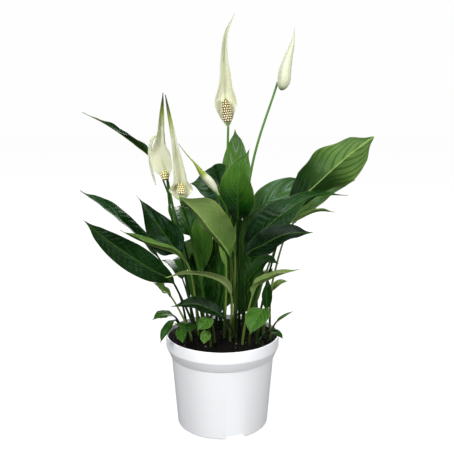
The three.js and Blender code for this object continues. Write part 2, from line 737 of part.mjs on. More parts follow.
function drainAt(angle) {
  const middle = (POT.channelInner + POT.channelOuter) / 2;
  const length = POT.wall * 3; // well through the floor
  const { drainRadius, drainSides } = POT;
  const drain = new THREE.CylinderGeometry(drainRadius, drainRadius, length, drainSides);
  drain.rotateX(Math.PI / 2);
  const height = POT.channelHeight + POT.wall / 2;
  return drain.translate(middle * Math.cos(angle), middle * Math.sin(angle), height);
}

// Soil that fills the pot to just under its lip, crumbly on top, with a hole for each stem.
function makeSoil(holes) {
  const edge = POT.rimRadius - POT.wall - GAP;
  const top = [];
  for (let ring = 0; ring <= SOIL.rings; ring++) {
    const out = 1 - ring / SOIL.rings;
    top.push([edge * out, lerp(SOIL.middleHeight, SOIL.edgeHeight, out * out)]);
  }
  const profile = [...innerFloor(GAP), ...innerWall(GAP), ...top];
  const body = revolve(profile, SOIL.sides);
  const position = body.attributes.position;
  const [[ax, ay], [bx, by]] = SOIL.crumbWaves;
  for (let k = 0; k < position.count; k++) {
    const x = position.getX(k);
    const y = position.getY(k);
    const z = position.getZ(k);
    const crumb = SOIL.crumb * Math.sin(ax * x + ay * y) * Math.cos(bx * x + by * y);
    if (z > SOIL.edgeHeight) position.setZ(k, z + crumb);
  }
  let soil = solidOf(body);
  for (const hole of holes) soil = soil.subtract(solidOf(hole));
  return geometryOf(soil);
}

// ---------------------------------------------------------------- the whole plant

const plant = new THREE.Group();

function add(name, geometry, finish) {
  const material = new THREE.MeshStandardMaterial({ ...finish, metalness: 0 });
  const mesh = new THREE.Mesh(geometry, material);
  mesh.name = name;
  plant.add(mesh);
}

const holes = [];
for (const [name, leaf] of Object.entries(LEAVES)) {
  const curve = leafCurve(leaf);
  const size = leaf.width < SLIM_BELOW ? SLIM_LEAF : WIDE_LEAF;
  const finish = PALE_LEAVES.includes(name) ? FINISH.paleLeaf : FINISH.leaf;
  add(name, makeLeaf(leaf, curve, size), finish);
  holes.push(holeFor(curve, new THREE.Vector3(...leaf.face), size.columns, PETIOLE.foot));
}
for (const [name, shoot] of Object.entries(SHOOTS)) {
  add(name, makeShoot(shoot), FINISH.leaf);
  const upright = curveThrough(rootPoints(shoot.root));
  holes.push(holeFor(upright, STEM_FACE, STEM.columns, SHOOT.radius));
}
for (const [name, bloom] of Object.entries(BLOOMS)) {
  add(`${name}_stem`, makeStem(bloom), FINISH.stem);
  holes.push(holeFor(bloomStemCurve(bloom), STEM_FACE, STEM.columns, STEM.foot));
  const spathe = bloom.thickness ? makeFurledSpathe(bloom) : makeOpenSpathe(bloom);
  add(`${name}_spathe`, spathe, FINISH.spathe);
  if (bloom.spadix) add(`${name}_spadix`, makeSpadix(bloom), FINISH.spadix);
}
add('soil', makeSoil(holes), FINISH.soil);
add('pot', makePot(), FINISH.pot);

export default plant;
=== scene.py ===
"""Dresses the potted peace lily: fine leaves, blooms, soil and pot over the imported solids.

Lengths are in millimetres in the tables and turn into metres where a mesh is made. The front of
the plant looks towards -Y, and the origin is the middle of the pot's foot.
"""

import math
from types import SimpleNamespace

import bmesh
import bpy
import numpy as np
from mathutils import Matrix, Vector


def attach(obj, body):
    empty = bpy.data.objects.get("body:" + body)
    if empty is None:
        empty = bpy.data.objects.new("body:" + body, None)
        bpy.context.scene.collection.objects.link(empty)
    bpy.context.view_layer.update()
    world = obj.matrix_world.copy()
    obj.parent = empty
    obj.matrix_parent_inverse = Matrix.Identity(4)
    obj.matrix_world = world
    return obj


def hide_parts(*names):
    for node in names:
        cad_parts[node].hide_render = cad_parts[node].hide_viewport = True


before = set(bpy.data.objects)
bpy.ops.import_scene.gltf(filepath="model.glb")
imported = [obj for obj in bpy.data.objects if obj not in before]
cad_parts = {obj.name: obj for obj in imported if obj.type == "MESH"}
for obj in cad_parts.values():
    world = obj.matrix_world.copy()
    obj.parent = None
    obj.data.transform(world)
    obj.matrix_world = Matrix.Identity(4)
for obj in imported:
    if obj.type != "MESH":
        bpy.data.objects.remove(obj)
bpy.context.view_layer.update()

MM = 0.001

# ---------------------------------------------------------------- driving dimensions

POT = SimpleNamespace(
    height=98.4,
    rim_radius=60,
    wall=1.4,
    lip_height=86.4,  # the collar is upright above this and bevelled below it
    collar_height=76.1,  # lower edge of the collar
    collar_radius=55.5,
    body_radius=54.5,  # just under the collar
    foot_radius=48.4,
    inner_foot_radius=47.4,
    inner_collar_height=75.3,
    inner_lip_height=87,
    channel_height=4.5,  # raised ring under the floor that the drain holes open into
    channel_outer=44,
    channel_inner=35,
    channel_slopes=(1, 0.6),  # how far its inner and outer sides lean
    floor_slope=0.84,  # and how far the step above its inner side leans
    notch_width=21,
    notch_slopes=(1, 3),  # on its left and its right
    notch_count=3,
    notch_angle=-73,  # degrees from +X, so a little right of the front
    drain_count=6,
    drain_radius=2.5,
    drain_sides=24,
    notch_past=2,  # how far the cutter of a notch reaches past the foot ring on both sides
    cut_past=1,  # how far every cutter starts below what it cuts or ends above it
    sides=192,
    sharp=35,  # edges that turn by more degrees than this stay sharp
)
# radius at each corner of the pot's outline, from the axis out under its floor, up and back inside
ROUNDING = SimpleNamespace(
    under=[0, 0.4, 0.4, 0.4, 0.3, 1.5],
    outside=[0.25, 0.4, 2.5, 0.6, 0.6],
    inside=[1.5, 0.8, 0.6, 0.4, 0.4, 0],
    steps=5,
)
SOIL = SimpleNamespace(
    edge_height=93.6,
    middle_height=96.2,
    rings=60,
    sides=220,
    waves=[  # height, then two crossing waves: radians per mm along X and Y, and shift
        (0.5, (0.16, 0, 1.1), (0, 0.19, -0.4)),
        (0.45, (0.9, 1.3, 0), (1.1, -0.7, 0)),
        (0.25, (2.9, -1.7, 0), (2.3, 3.1, 0)),
    ],
)
CRUMB = SimpleNamespace(count=900, size=(0.4, 1.5), stretch=(0.6, 1.3), rough=0.18, rise=0.2, inset=1.9)

STEM_FACE = (0, -1, 0)
STEM_FOOT = 84  # height at which petioles and stems end in the soil
STEM_COLLAR = 100  # they stand straight up to here
GAP = 0.3  # clearance between pieces that touch on the real plant

PETIOLE = SimpleNamespace(foot=1.35, neck=0.9, foot_rows=4, rows=26)  # radius at the soil and the blade
BLADE = SimpleNamespace(
    edge=0.2,  # half its thickness
    thinnest=0.04,  # square of what is left of that at its edge
    flat=0.07,  # the round petiole has turned into the blade here
    unfolded=0.2,  # it has opened to its full fold here,
    closing=0.75,  # closes again from here
    tip_fold=0.4,  # and keeps this much of its fold at its tip
    turn=(0.35, 0.75),  # a blade with a second face turns to it between these
    pale=(0.1, 0.7),  # and one with a second tone takes it on between these; its darker foot is painted shade where leaves above shade it
    point=(0.82, 0.96),  # it is drawn out to a point between these
    point_loss=0.5,  # and is narrower there by this
    tip=0.9,  # ribs and veins fade from here
    least=0.15,  # half its width at its very tip, in petiole radii
    crowding=0.92,
    columns=29,
    rows=96,
    ripples=1.6,
    ruffle=(0.35, 2.7),  # height and pace of the smaller ripples, beside the large ones
)
MIDRIB = SimpleNamespace(height=(1.0, 0.25), width=1.1, groove=0.15, groove_width=0.9)
VEIN = SimpleNamespace(
    slant=0.26,
    arch=0.3,
    relief=0.6,
    fullness=0.8,
    level=0.6,
    start=(0.6, 3),  # the relief rises between these distances from the midrib
    fine=3,
)
STEM = SimpleNamespace(foot=1.45, neck=1.15, columns=10, rows=40, plug=1.2)
SHOOT = SimpleNamespace(
    radius=3,
    height=104,
    rows=12,
    columns=12,
    leaf_start=96,
    leaf_lean=(0.3, 0.5),  # of its radius, at the start of a leaf and above the shoot
    leaf_rise=2,
    leaf=dict(width=30, fold=18, face=(0, -1, 0.5)),
)
SPATHE = SimpleNamespace(
    columns=35,
    rows=90,
    crowding=1.15,
    edge=0.28,  # half its thickness
    thinnest=0.05,
    flat=0.1,  # its round foot has turned into the hood here
    neck=0.08,
    unfolded=0.12,  # it has opened here
    foot=0.2,  # and is drawn in to a pointed foot below here
    closing=0.8,
    tip_fold=0.5,
    veins=7,
    groove=0.16,
    grooved=(1.5, 6),  # the grooves deepen while half its width is between these
    flow=(0.5, 7, 2),  # height and pace of its waved edge, and the shift between its sides
    rib=0.9,
    least=(0.3, 1.0),  # half its width in stem radii, at its tip and its foot
)
FURLED = SimpleNamespace(sides=48, rows=80, overlap=0.2, ridges=7, ridge=0.02, tip=0.15)
SPADIX = SimpleNamespace(
    sides=32,
    rows=40,
    core=0.9,  # of its radius
    shift=0.92,
    narrowing=0.25,
    end=0.12,
    lift=1.1,  # in its own radii, off the spathe
    spathe=0.45,
    pitch=2.5,  # between its flowers
    row_pitch=0.84,
    seat=0.82,
    flower=0.78,
    flower_height=0.95,
    flower_open=0.98,
    flower_rings=5,
    flower_sides=10,
)
FEWEST = SimpleNamespace(rows=4, around=5)  # flowers on a spadix

USUAL_LEAF = dict(  # what holds for a leaf where its own table says nothing
    fold=20,  # degrees that each half is turned up at the midrib
    wave=1,  # height of its waved edge
    widest=0.42,  # part of the way along the blade
    taper=1.1,
    veins=7,  # spacing of its side veins
    tone=0.3,  # from 0, the darkest, to 1, the palest; partly the leaf's own colour, partly painted shade on leaves that lie in the shade of others
    ribbed=0.5,  # how dark the painted shade is in the furrows between the raised veins on its underside
    waxy=0.1,  # how strong its painted sheen is: pale bluish streaks painted in as reflections
)

# a petiole stands at its root on the soil, the midrib runs through the points of the blade, and the
# upper side looks towards its face
LEAVES = {
    "leaf_left_1": dict(
        root=[-22, 29],
        blade=[[-72, 30, 277], [-90, 28, 294], [-107, 22, 308], [-123, 17, 319], [-143, 12, 330]],
        face=[0.4, -0.2, 1], width=17, fold=55, wave=2, widest=0.26, taper=1.9, tone=0.2,
    ),
    "leaf_left_2": dict(
        root=[-32, 14],
        blade=[[-69, 14, 178], [-88, 8, 201], [-108, -4, 224], [-125, -14, 240], [-141, -22, 254]],
        face=[0.2, -0.5, 1], width=24, fold=35, tone=0.25, waxy=0.4,
    ),
    "leaf_left_3": dict(
        root=[-38, 4],
        blade=[[-50, -14, 156], [-72, -24, 174], [-93, -36, 192], [-114, -46, 211], [-132, -54, 230]],
        face=[-0.3, -1, 0.5], width=29, fold=16, wave=1.5, tone=0.15,
    ),
    "leaf_left_4": dict(
        root=[-26, -2],
        blade=[[-36, -22, 180], [-49, -25, 191], [-69, -29, 199], [-87, -33, 208], [-100, -37, 217]],
        face=[0.2, -0.1, 1], width=16, fold=50, tone=0.65,
    ),
    "leaf_left_5": dict(
        root=[-30, -6],
        blade=[[-43, -12, 185], [-52, -16, 199], [-62, -21, 216], [-73, -26, 234], [-84, -30, 250]],
        face=[-0.3, -1, 0.3], width=36, fold=18, wave=1.5, widest=0.36, taper=1.9, tone=0.15, waxy=0.5,
    ),
    "leaf_left_6": dict(
        root=[-20, 6], blade=[[-22, 13, 156], [-22, 13, 176], [-22, 12, 202], [-26, 10, 228]],
        face=[0, -1, 0.2], width=24, widest=0.6, tone=0.5,
    ),
    "leaf_left_7": dict(
        root=[-33, -16], blade=[[-55, 6, 136], [-63, 0, 146], [-72, -4, 154]], face=[0.2, -0.5, 1],
        width=15, fold=25, tone=0.75,
    ),
    "leaf_left_8": dict(
        root=[-45, 8], blade=[[-52, 2, 116], [-63, -6, 120], [-73, -14, 117]], face=[0, -0.5, 1],
        width=13, fold=15, tone=0.4,
    ),
    "leaf_left_9": dict(
        root=[-40, -12], blade=[[-49, -18, 118], [-56, -36, 114], [-62, -46, 104]], face=[-0.5, -0.6, 1],
        width=12, wave=0.5,
    ),
    "leaf_front_1": dict(
        root=[14, -14],
        blade=[[8, -25, 187], [1, -29, 200], [-12, -38, 218], [-24, -45, 235], [-41, -50, 252]],
        face=[0.6, 0.9, 0.8], width=50, fold=35, wave=2, widest=0.6, taper=0.8, tone=0.45, tip_tone=0.8,
        ribbed=0.1,
    ),
    "leaf_front_2": dict(
        root=[8, -20],
        blade=[[9, -32, 149], [0, -42, 165], [-18, -52, 175], [-36, -58, 178], [-54, -60, 175]],
        face=[0.2, 0.6, 1], width=16, fold=25, tone=1,
    ),
    "leaf_front_3": dict(
        root=[14, -24], blade=[[1, -32, 126], [-12, -38, 136], [-28, -46, 144], [-50, -54, 144]],
        face=[-0.1, -0.7, 1], width=20, wave=1.5, tone=0.05,
    ),
    "leaf_front_4": dict(
        root=[-8, -24], blade=[[-13, -38, 127], [-17, -47, 124], [-25, -54, 120]], face=[-0.3, -1, 0.8],
        width=16, wave=0.5, tone=0.5,
    ),
    "leaf_front_5": dict(
        root=[-20, -20], blade=[[-27, -30, 116], [-36, -40, 117], [-47, -48, 125]], face=[-0.2, -0.8, 1],
        width=12, wave=0.5,
    ),
    "leaf_front_6": dict(
        root=[-38, -24], blade=[[-42, -33, 114], [-41, -43, 110], [-39, -50, 105]], face=[0, -1, 1],
        width=11, fold=25, wave=0.5, tone=0.4,
    ),
    "leaf_front_7": dict(
        root=[-12, -34], blade=[[-14, -41, 114], [-17, -48, 110], [-18, -53, 105]], face=[0, -1, 1],
        width=11, wave=0.5, tone=0.55,
    ),
    "leaf_front_8": dict(
        root=[36, -16], blade=[[43, -27, 133], [35, -42, 128], [27, -53, 115]], face=[-0.5, -1, 1],
        width=26, fold=18, tone=0.5,
    ),
    "leaf_front_9": dict(
        root=[28, -22], blade=[[34, -28, 126], [38, -34, 121], [42, -41, 118]], face=[0.2, -1, 1],
        width=12, wave=0.5, tone=0.45,
    ),
    "leaf_middle_1": dict(
        root=[18, 0], blade=[[16, -7, 221], [16, -10, 240], [17, -14, 266], [27, -13, 294]],
        face=[-0.35, -1, 0.3], width=40, fold=22, wave=1.5, tone=0.1, tip_tone=0.5, waxy=0,
    ),
    "leaf_middle_2": dict(
        root=[10, 20], blade=[[9, 22, 232], [12, 21, 265], [14, 19, 291], [13, 16, 313]],
        face=[0, -1, 0.3], width=27, fold=16, tone=0.6, waxy=1,
    ),
    "leaf_middle_3": dict(
        root=[-8, 14], blade=[[13, 14, 247], [1, 12, 254], [-13, 8, 256], [-33, 1, 258]],
        face=[0.2, -1, 0.25], width=46, fold=6, tone=0.25, waxy=0.5,
    ),
    "leaf_middle_4": dict(
        root=[2, -12], blade=[[4, -14, 173], [1, -14, 186], [-4, -13, 197]], face=[-0.3, -1, 0.2],
        width=6, fold=30, wave=0, tone=0.8,
    ),
    "leaf_middle_5": dict(
        root=[12, -6], blade=[[13, -18, 186], [11, -19, 204], [14, -20, 221]], face=[0, -1, 0.2],
        width=6, fold=30, wave=0, tone=0.7,
    ),
    "leaf_right_1": dict(
        root=[38, 10],
        blade=[[72, 7, 233], [92, 9, 251], [113, 12, 270], [134, 15, 288], [157, 16, 305]],
        face=[-0.4, 0.85, 0.35], tip_face=[0.15, 0.95, -0.3], width=53, fold=25, wave=2, widest=0.45,
        taper=0.75, veins=16, tone=0, tip_tone=0.5, ribbed=1,
    ),
    "leaf_right_2": dict(
        root=[24, -6],
        blade=[[24, -22, 195], [42, -28, 216], [64, -31, 235], [90, -32, 250], [123, -34, 251]],
        face=[-0.2, -1, 0.7], tip_face=[0, -0.45, 1.2], width=34, wave=2, widest=0.34, taper=1.5, tone=0,
        tip_tone=0.3,
    ),
    "leaf_right_3": dict(
        root=[24, 12], blade=[[27, 12, 220], [43, 14, 234], [64, 16, 248], [88, 18, 263]],
        face=[-0.2, -1, 0.6], width=33, widest=0.5, tone=0.45, waxy=1,
    ),
    "leaf_right_4": dict(
        root=[30, 18], blade=[[70, 26, 210], [95, 32, 230], [119, 35, 246], [143, 35, 258]],
        face=[-0.3, -0.8, 1], width=18, fold=25, tone=0.65, waxy=1,
    ),
    "leaf_right_5": dict(
        root=[44, 2], blade=[[70, 2, 212], [85, 0, 224], [99, -4, 230], [115, -8, 230]],
        face=[-0.2, -0.1, 1], width=11, fold=45, wave=0.5, tone=0.75,
    ),
    "leaf_right_6": dict(
        root=[22, -14], blade=[[24, -31, 189], [41, -41, 203], [61, -50, 215], [86, -60, 219]],
        face=[-0.1, -0.9, 0.9], width=29, fold=18, wave=1.5, tone=0,
    ),
    "leaf_right_7": dict(
        root=[30, -8], blade=[[26, -6, 154], [36, -6, 169], [47, -8, 179], [58, -12, 177]],
        face=[0, -0.6, 1], width=18, fold=25, wave=0.5,
    ),
    "leaf_right_8": dict(
        root=[21, -27],
        blade=[[30, -26, 145], [35, -29, 158], [45, -34, 165], [58, -38, 172], [76, -43, 179]],
        face=[0.1, -0.2, 1], width=20, fold=42, tone=0.85,
    ),
    "leaf_right_9": dict(
        root=[51, 9], blade=[[53, 8, 142], [60, 6, 151], [69, 4, 154]], face=[0, -0.8, 1], width=8,
        wave=0, tone=0.9,
    ),
    "leaf_right_10": dict(
        root=[40, -10], blade=[[46, -10, 127], [46, -12, 144], [48, -10, 160]], face=[0.2, -1, 0.1],
        width=12, fold=25, wave=0.5, tone=0.25,
    ),
    "leaf_right_11": dict(
        root=[50, -14], blade=[[57, -4, 111], [65, -4, 117], [74, -4, 123]], face=[0, -0.4, 1], width=5,
        fold=40, wave=0, tone=0.5,
    ),
    "leaf_right_12": dict(
        root=[38, -28], blade=[[49, -26, 108], [56, -31, 108], [62, -34, 104]], face=[0.2, -0.6, 1],
        width=9, wave=0.5,
    ),
    "leaf_back_1": dict(
        root=[-21, 36], blade=[[-29, 46, 142], [-35, 56, 188], [-51, 88, 218], [-63, 118, 212]],
        face=[-0.3, 0.6, 1], width=36, fold=14, wave=2,
    ),
    "leaf_back_2": dict(
        root=[2, 34], blade=[[8, 62, 206], [16, 92, 232], [20, 128, 222]], face=[0, 0.6, 1], width=38,
        fold=14, wave=2, tone=0.35,
    ),
    "leaf_back_3": dict(
        root=[30, 36], blade=[[44, 52, 188], [68, 78, 208], [88, 104, 198]], face=[0.3, 0.6, 1],
        width=34, fold=14, wave=2, tone=0.25,
    ),
    "leaf_back_4": dict(
        root=[-32, 30], blade=[[-46, 56, 142], [-58, 78, 158], [-66, 98, 148]], face=[-0.3, 0.6, 1],
        width=28, fold=16, wave=1.5, tone=0.35,
    ),
    "leaf_back_5": dict(
        root=[38, 31], blade=[[40, 56, 134], [46, 78, 146], [54, 98, 136]], face=[0.3, 0.6, 1], width=26,
        fold=16, wave=1.5,
    ),
}

SHOOTS = {
    "shoot_1": dict(
        root=[-14, 22],
        blades=[
            [[-19, 23, 118], [-24, 22, 152], [-31, 21, 192]],
            [[-10, 31, 112], [-7, 43, 150], [-9, 50, 200]],
        ],
    ),
    "shoot_2": dict(
        root=[-2, 24],
        blades=[
            [[2, 30, 116], [8, 38, 175], [17, 44, 256]],
            [[-4, 26, 112], [-4, 28, 146], [-5, 29, 188]],
        ],
    ),
    "shoot_3": dict(
        root=[13, 32],
        blades=[
            [[20, 28, 112], [30, 30, 146], [40, 31, 180]],
            [[17, 42, 112], [22, 52, 146], [27, 58, 186]],
            [[25, 31, 112], [30, 29, 170], [27, 32, 246]],
        ],
    ),
}

# the sides of a hood curl forward by the first angle of its cup, and by the second one after it closes;
# it is green from this part of its length, so never where that is 2
BLOOMS = {
    "bloom_1": dict(
        root=[2, 6], stem=[[5, 4, 273], [6, 0, 314]],
        spathe=[[4, 1, 334], [3, 3, 348], [3, 4, 364], [2, 5, 382], [4, 3, 406], [12, 0, 425]],
        face=[0, -1, 0.1], width=25, widest=0.25, taper=1.3, cup=[38, 108], close=[0.12, 0.5],
        spadix=dict(start=6, length=22, radius=5.4, ripe=1), green=2,
    ),
    "bloom_2": dict(
        root=[14, 14], stem=[[31, 18, 274], [56.5, 21.7, 359]], foot=[60, 18, 352],
        spathe=[[63, 17, 361], [64, 17, 371], [67, 17, 384], [71, 16, 399], [73, 15, 415]], thickness=13,
        widest=0.28, taper=1.4, green=2,
    ),
    "bloom_3": dict(
        root=[-24, 10], stem=[[-53, -4, 229], [-55, -12, 261]],
        spathe=[[-57, -10, 272], [-60, -9, 283], [-61, -8, 297], [-60, -8, 312], [-58, -11, 349]],
        face=[-0.2, -1, 0.1], width=25, widest=0.42, taper=1.15, cup=[58, 115], close=[0.45, 0.7],
        spadix=dict(start=1, length=10, radius=4.2, ripe=0.3), green=0.8,
    ),
    "bloom_4": dict(
        root=[-14, 0], stem=[[-33, -8, 209], [-41, -24, 243]],
        spathe=[[-41, -22, 254], [-42, -21, 266], [-44, -20, 281], [-47, -20, 302], [-55, -18, 347]],
        face=[0.1, -1, 0.1], width=26, widest=0.22, taper=0.95, cup=[38, 112], close=[0.18, 0.38],
        spadix=dict(start=6, length=12, radius=4.5, ripe=0.3), green=0.8,
    ),
    "bloom_5": dict(
        root=[-33, 22], stem=[[-50, 13, 220], [-62, 7, 290]],
        spathe=[[-66, 5, 305], [-70, 3, 304], [-73, 1, 291], [-72, -1, 274], [-68, -3, 257]],
        face=[-0.6, -1, 0.2], width=5, widest=0.6, taper=1.1, cup=[50, 60], close=[0.2, 0.6], green=2,
    ),
    "bloom_6": dict(
        root=[2, -4], stem=[[5, -14, 230], [-3, -24, 249]],
        spathe=[[-11, -26, 262], [-19, -28, 271], [-26, -30, 281], [-34, -31, 290], [-42, -34, 301]],
        thickness=8, widest=0.24, taper=3.5, green=0.3,
    ),
}

STUDIO = SimpleNamespace(
    middle=(0, 0, 0.22),  # metres, where the lights look
    floor_half_width=6000,
    floor_grey=(80, 80, 80),  # as a screen shows it
    floor_glow=0.98,  # as the camera sees it
    seen=(0.99, 0.99, 0.99, 1),  # the background, as the camera sees it
    unseen=(0.9, 0.96, 1, 1),  # and as it lights the plant
    unseen_light=0.03,
)
LIGHTS = {  # places and sizes in metres
    "key": dict(place=(-0.9, -1.3, 1.25), watts=39, size=(1.0, 0.8)),
    "side": dict(place=(1.4, -1.4, 0.8), watts=32, size=(0.9, 0.7)),
    "top": dict(place=(-0.2, -0.15, 1.6), watts=11, size=(1.4, 1.0), colour=(0.85, 0.93, 1)),
    "back": dict(place=(0.3, 1.7, 0.9), watts=28, size=(1.2, 0.8)),
}
CAMERA = SimpleNamespace(place=(0.0048, -0.672, 0.341), tilt=79.2, lens=52.33, sensor=36)


# ---------------------------------------------------------------- curves and cross-sections


def smoothstep(value, low, high):
    part = np.clip((value - low) / (high - low), 0, 1)
    return part * part * (3 - 2 * part)


def lerp(first, last, part):
    return first + (last - first) * part


def unit(vectors):
    return vectors / np.linalg.norm(vectors, axis=-1, keepdims=True)


class Curve:
    """A smooth curve through given points, which runs from t = 0 to t = 1."""

    def __init__(self, points):
        inner = np.array(points, float)
        first = 2 * inner[0] - inner[1]
        last = 2 * inner[-1] - inner[-2]
        self.points = np.vstack([first, inner, last])
        self.spans = len(inner) - 1

    def at(self, t):
        """Centripetal Catmull-Rom, which doesn't swing out between the points."""
        t = np.atleast_1d(np.asarray(t, float))
        span = np.clip(np.floor(t * self.spans).astype(int), 0, self.spans - 1)
        w = (t * self.spans - span)[:, None]
        a, b, c, d = (self.points[span + k] for k in range(4))
        before, here, after = (
            np.sqrt(np.linalg.norm(q - p, axis=1))[:, None] for p, q in ((a, b), (b, c), (c, d))
        )
        leave = ((b - a) / before - (c - a) / (before + here)) * here + (c - b)
        arrive = ((d - c) / after - (d - b) / (here + after)) * here + (c - b)
        bend = -3 * b + 3 * c - 2 * leave - arrive
        close = 2 * b - 2 * c + leave + arrive
        return b + leave * w + bend * w**2 + close * w**3

    def along(self, t):
        step = 1e-4
        t = np.atleast_1d(np.asarray(t, float))
        return unit(self.at(np.clip(t + step, 0, 1)) - self.at(np.clip(t - step, 0, 1)))

    def frame(self, t, face):
        """Point, direction to the right and direction of the upper face at each t."""
        along = self.along(t)
        face = np.broadcast_to(np.array(face, float), along.shape)
        up = unit(face - along * np.sum(along * face, axis=1, keepdims=True))
        return self.at(t), np.cross(along, up), up

    def lengths(self, t):
        """Distance along the curve from t[0] to each t."""
        steps = np.linalg.norm(np.diff(self.at(t), axis=0), axis=1)
        return np.concatenate([[0], np.cumsum(steps)])

    def t_at(self, distances):
        t = np.linspace(0, 1, 400)
        return np.interp(distances, self.lengths(t), t)


def rings_at(frames, x, z):
    """Rings of points at x to the right and z above a curve; x and z have a row for each ring."""
    centre, side, up = frames
    return centre[:, None] + side[:, None] * x[..., None] + up[:, None] * z[..., None]


def round_rings(frames, radius, angle):
    return rings_at(frames, radius * np.cos(angle), radius * np.sin(angle))


def ring_angles(count):
    """Angles round a ring, from its left over its upper side to its right and back below."""
    return math.pi - 2 * math.pi * (np.arange(count) + 0.5) / count


def outline(u, widest, taper):
    """Width along a blade: 0 at its start, 1 where it is widest, 0 at its tip."""
    rise = taper * widest / (1 - widest)
    u = np.clip(u, 0, 1)
    return u**rise * (1 - u) ** taper / (widest**rise * (1 - widest) ** taper)


def openness(u, form):
    """How far a strip has opened from its stem and not yet closed towards its tip, 0 to 1."""
    return smoothstep(u, 0, form.unfolded) * lerp(1, form.tip_fold, smoothstep(u, form.closing, 1))


def columns_across(count):
    """For each column of a strip, as one row: its distance from the midrib (1 at the edge), its
    side (-1, 0 or 1) and how high it stands on a round rod."""
    angle = math.pi * (1 - (np.arange(count) + 0.5) / count)
    reach = np.cos(angle) / math.cos(math.pi / 2 / count)
    hand = np.sign(np.round(reach, 9))
    return np.abs(reach)[None, :], hand[None, :], np.sin(angle)[None, :]


def thin_edge(far, least):
    """Thickness across a strip, rounded off at its edges."""
    return np.sqrt(np.clip(1 - far**8, least, 1))


def strip(frames, columns, half_width, fold, cup, upper, lower, lift):
    """Closed rings across a folded strip, first over its upper face and then back under it.

    Each half turns up by `fold` at the midrib and by `cup` more at the edge. `upper`, `lower` and
    `lift` give height above the strip's middle surface, from (rows, columns) arrays.
    """
    far, hand, _ = columns_across(columns)
    half_width, fold, cup = (np.asarray(v, float)[:, None] for v in (half_width, fold, cup))
    flattest = 0.01
    cup = np.where(np.abs(cup) < flattest, flattest, cup)
    turn = fold + cup * far
    across = hand * half_width * (np.sin(turn) - np.sin(fold)) / cup
    height = half_width * (np.cos(fold) - np.cos(turn)) / cup

    def place(lift_by):
        return rings_at(frames, across - hand * np.sin(turn) * lift_by, height + np.cos(turn) * lift_by)

    return np.concatenate([place(lift + upper), place(lift - lower)[:, ::-1]], axis=1)


def both_faces(values):
    """Repeats values given for the columns of the upper face on the lower face."""
    return np.concatenate([values, values[:, ::-1]], axis=1)


# ---------------------------------------------------------------- meshes


def new_piece(name, points, faces, material=None):
    """A mesh in the scene, from points in millimetres."""
    mesh = bpy.data.meshes.new(name)
    mesh.from_pydata((np.asarray(points, float) * MM).tolist(), [], faces)
    if material:
        mesh.materials.append(material)
    mesh.update()
    piece = bpy.data.objects.new(name, mesh)
    bpy.context.scene.collection.objects.link(piece)
    return piece


def smooth(piece, sharp=180):
    """Shades a piece smooth, apart from edges that turn by more than `sharp` degrees."""
    mesh = piece.data
    mesh.polygons.foreach_set("use_smooth", np.ones(len(mesh.polygons), bool))
    mesh.set_sharp_from_angle(angle=math.radians(sharp))


def dress(piece, node):
    """The piece moves with the plant and stands for a CAD node, which is hidden."""
    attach(piece, "root")
    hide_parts(node)


def side_faces(rows, count):
    """Quads between neighbouring rings of `count` points."""
    k = np.arange(count)
    following = (k + 1) % count
    row = np.arange(rows - 1)[:, None] * count
    quads = np.stack([row + k, row + following, row + count + following, row + count + k], axis=-1)
    return quads.reshape(-1, 4)


def loft_faces(rows, count):
    """Sides, and strip caps over the first and the last ring."""
    low = np.arange(count // 2 - 1)
    high = count - 1 - low
    start = np.stack([low, high, high - 1, low + 1], axis=-1)
    end = np.stack([low, low + 1, high - 1, high], axis=-1) + (rows - 1) * count
    return np.concatenate([side_faces(rows, count), start, end])


class Shape:
    """Collects lofts into one mesh, with the numbers that its material reads from it."""

    def __init__(self):
        self.points = []
        self.faces = []
        self.values = {}
        self.count = 0

    def add(self, points, faces, **values):
        self.points.append(points)
        self.faces.append(faces + self.count)
        for name, value in values.items():
            full = np.broadcast_to(np.asarray(value, float).reshape(-1), (len(points),))
            self.values.setdefault(name, []).append(full)
        self.count += len(points)

    def loft(self, rings, **values):
        """Each value is one number, or spreads over the rows and columns of the rings."""
        rows, count = rings.shape[:2]
        full = {name: np.broadcast_to(value, (rows, count)) for name, value in values.items()}
        self.add(rings.reshape(-1, 3), loft_faces(rows, count), **full)

    def build(self, name, material, sharp=50):
        faces = [face for block in self.faces for face in block.tolist()]
        piece = new_piece(name, np.concatenate(self.points), faces, material)
        for value_name, blocks in self.values.items():
            attribute = piece.data.attributes.new(value_name, "FLOAT", "POINT")
            attribute.data.foreach_set("value", np.concatenate(blocks).astype(np.float32))
        smooth(piece, sharp)
        return piece


# ---------------------------------------------------------------- leaves


def root_points(root):
    x, y = root
    return [(x, y, STEM_FOOT), (x, y, STEM_COLLAR)]


def rows_along(collar, blade_start):
    """Rows of a leaf: few in the soil, then up its petiole, and most of them in its blade."""
    blade = np.linspace(0, 1, BLADE.rows) ** BLADE.crowding
    return np.concatenate(
        [
            np.linspace(0, collar, PETIOLE.foot_rows)[:-1],
            np.linspace(collar, blade_start, PETIOLE.rows)[:-1],
            lerp(blade_start, 1, blade),
        ]
    )


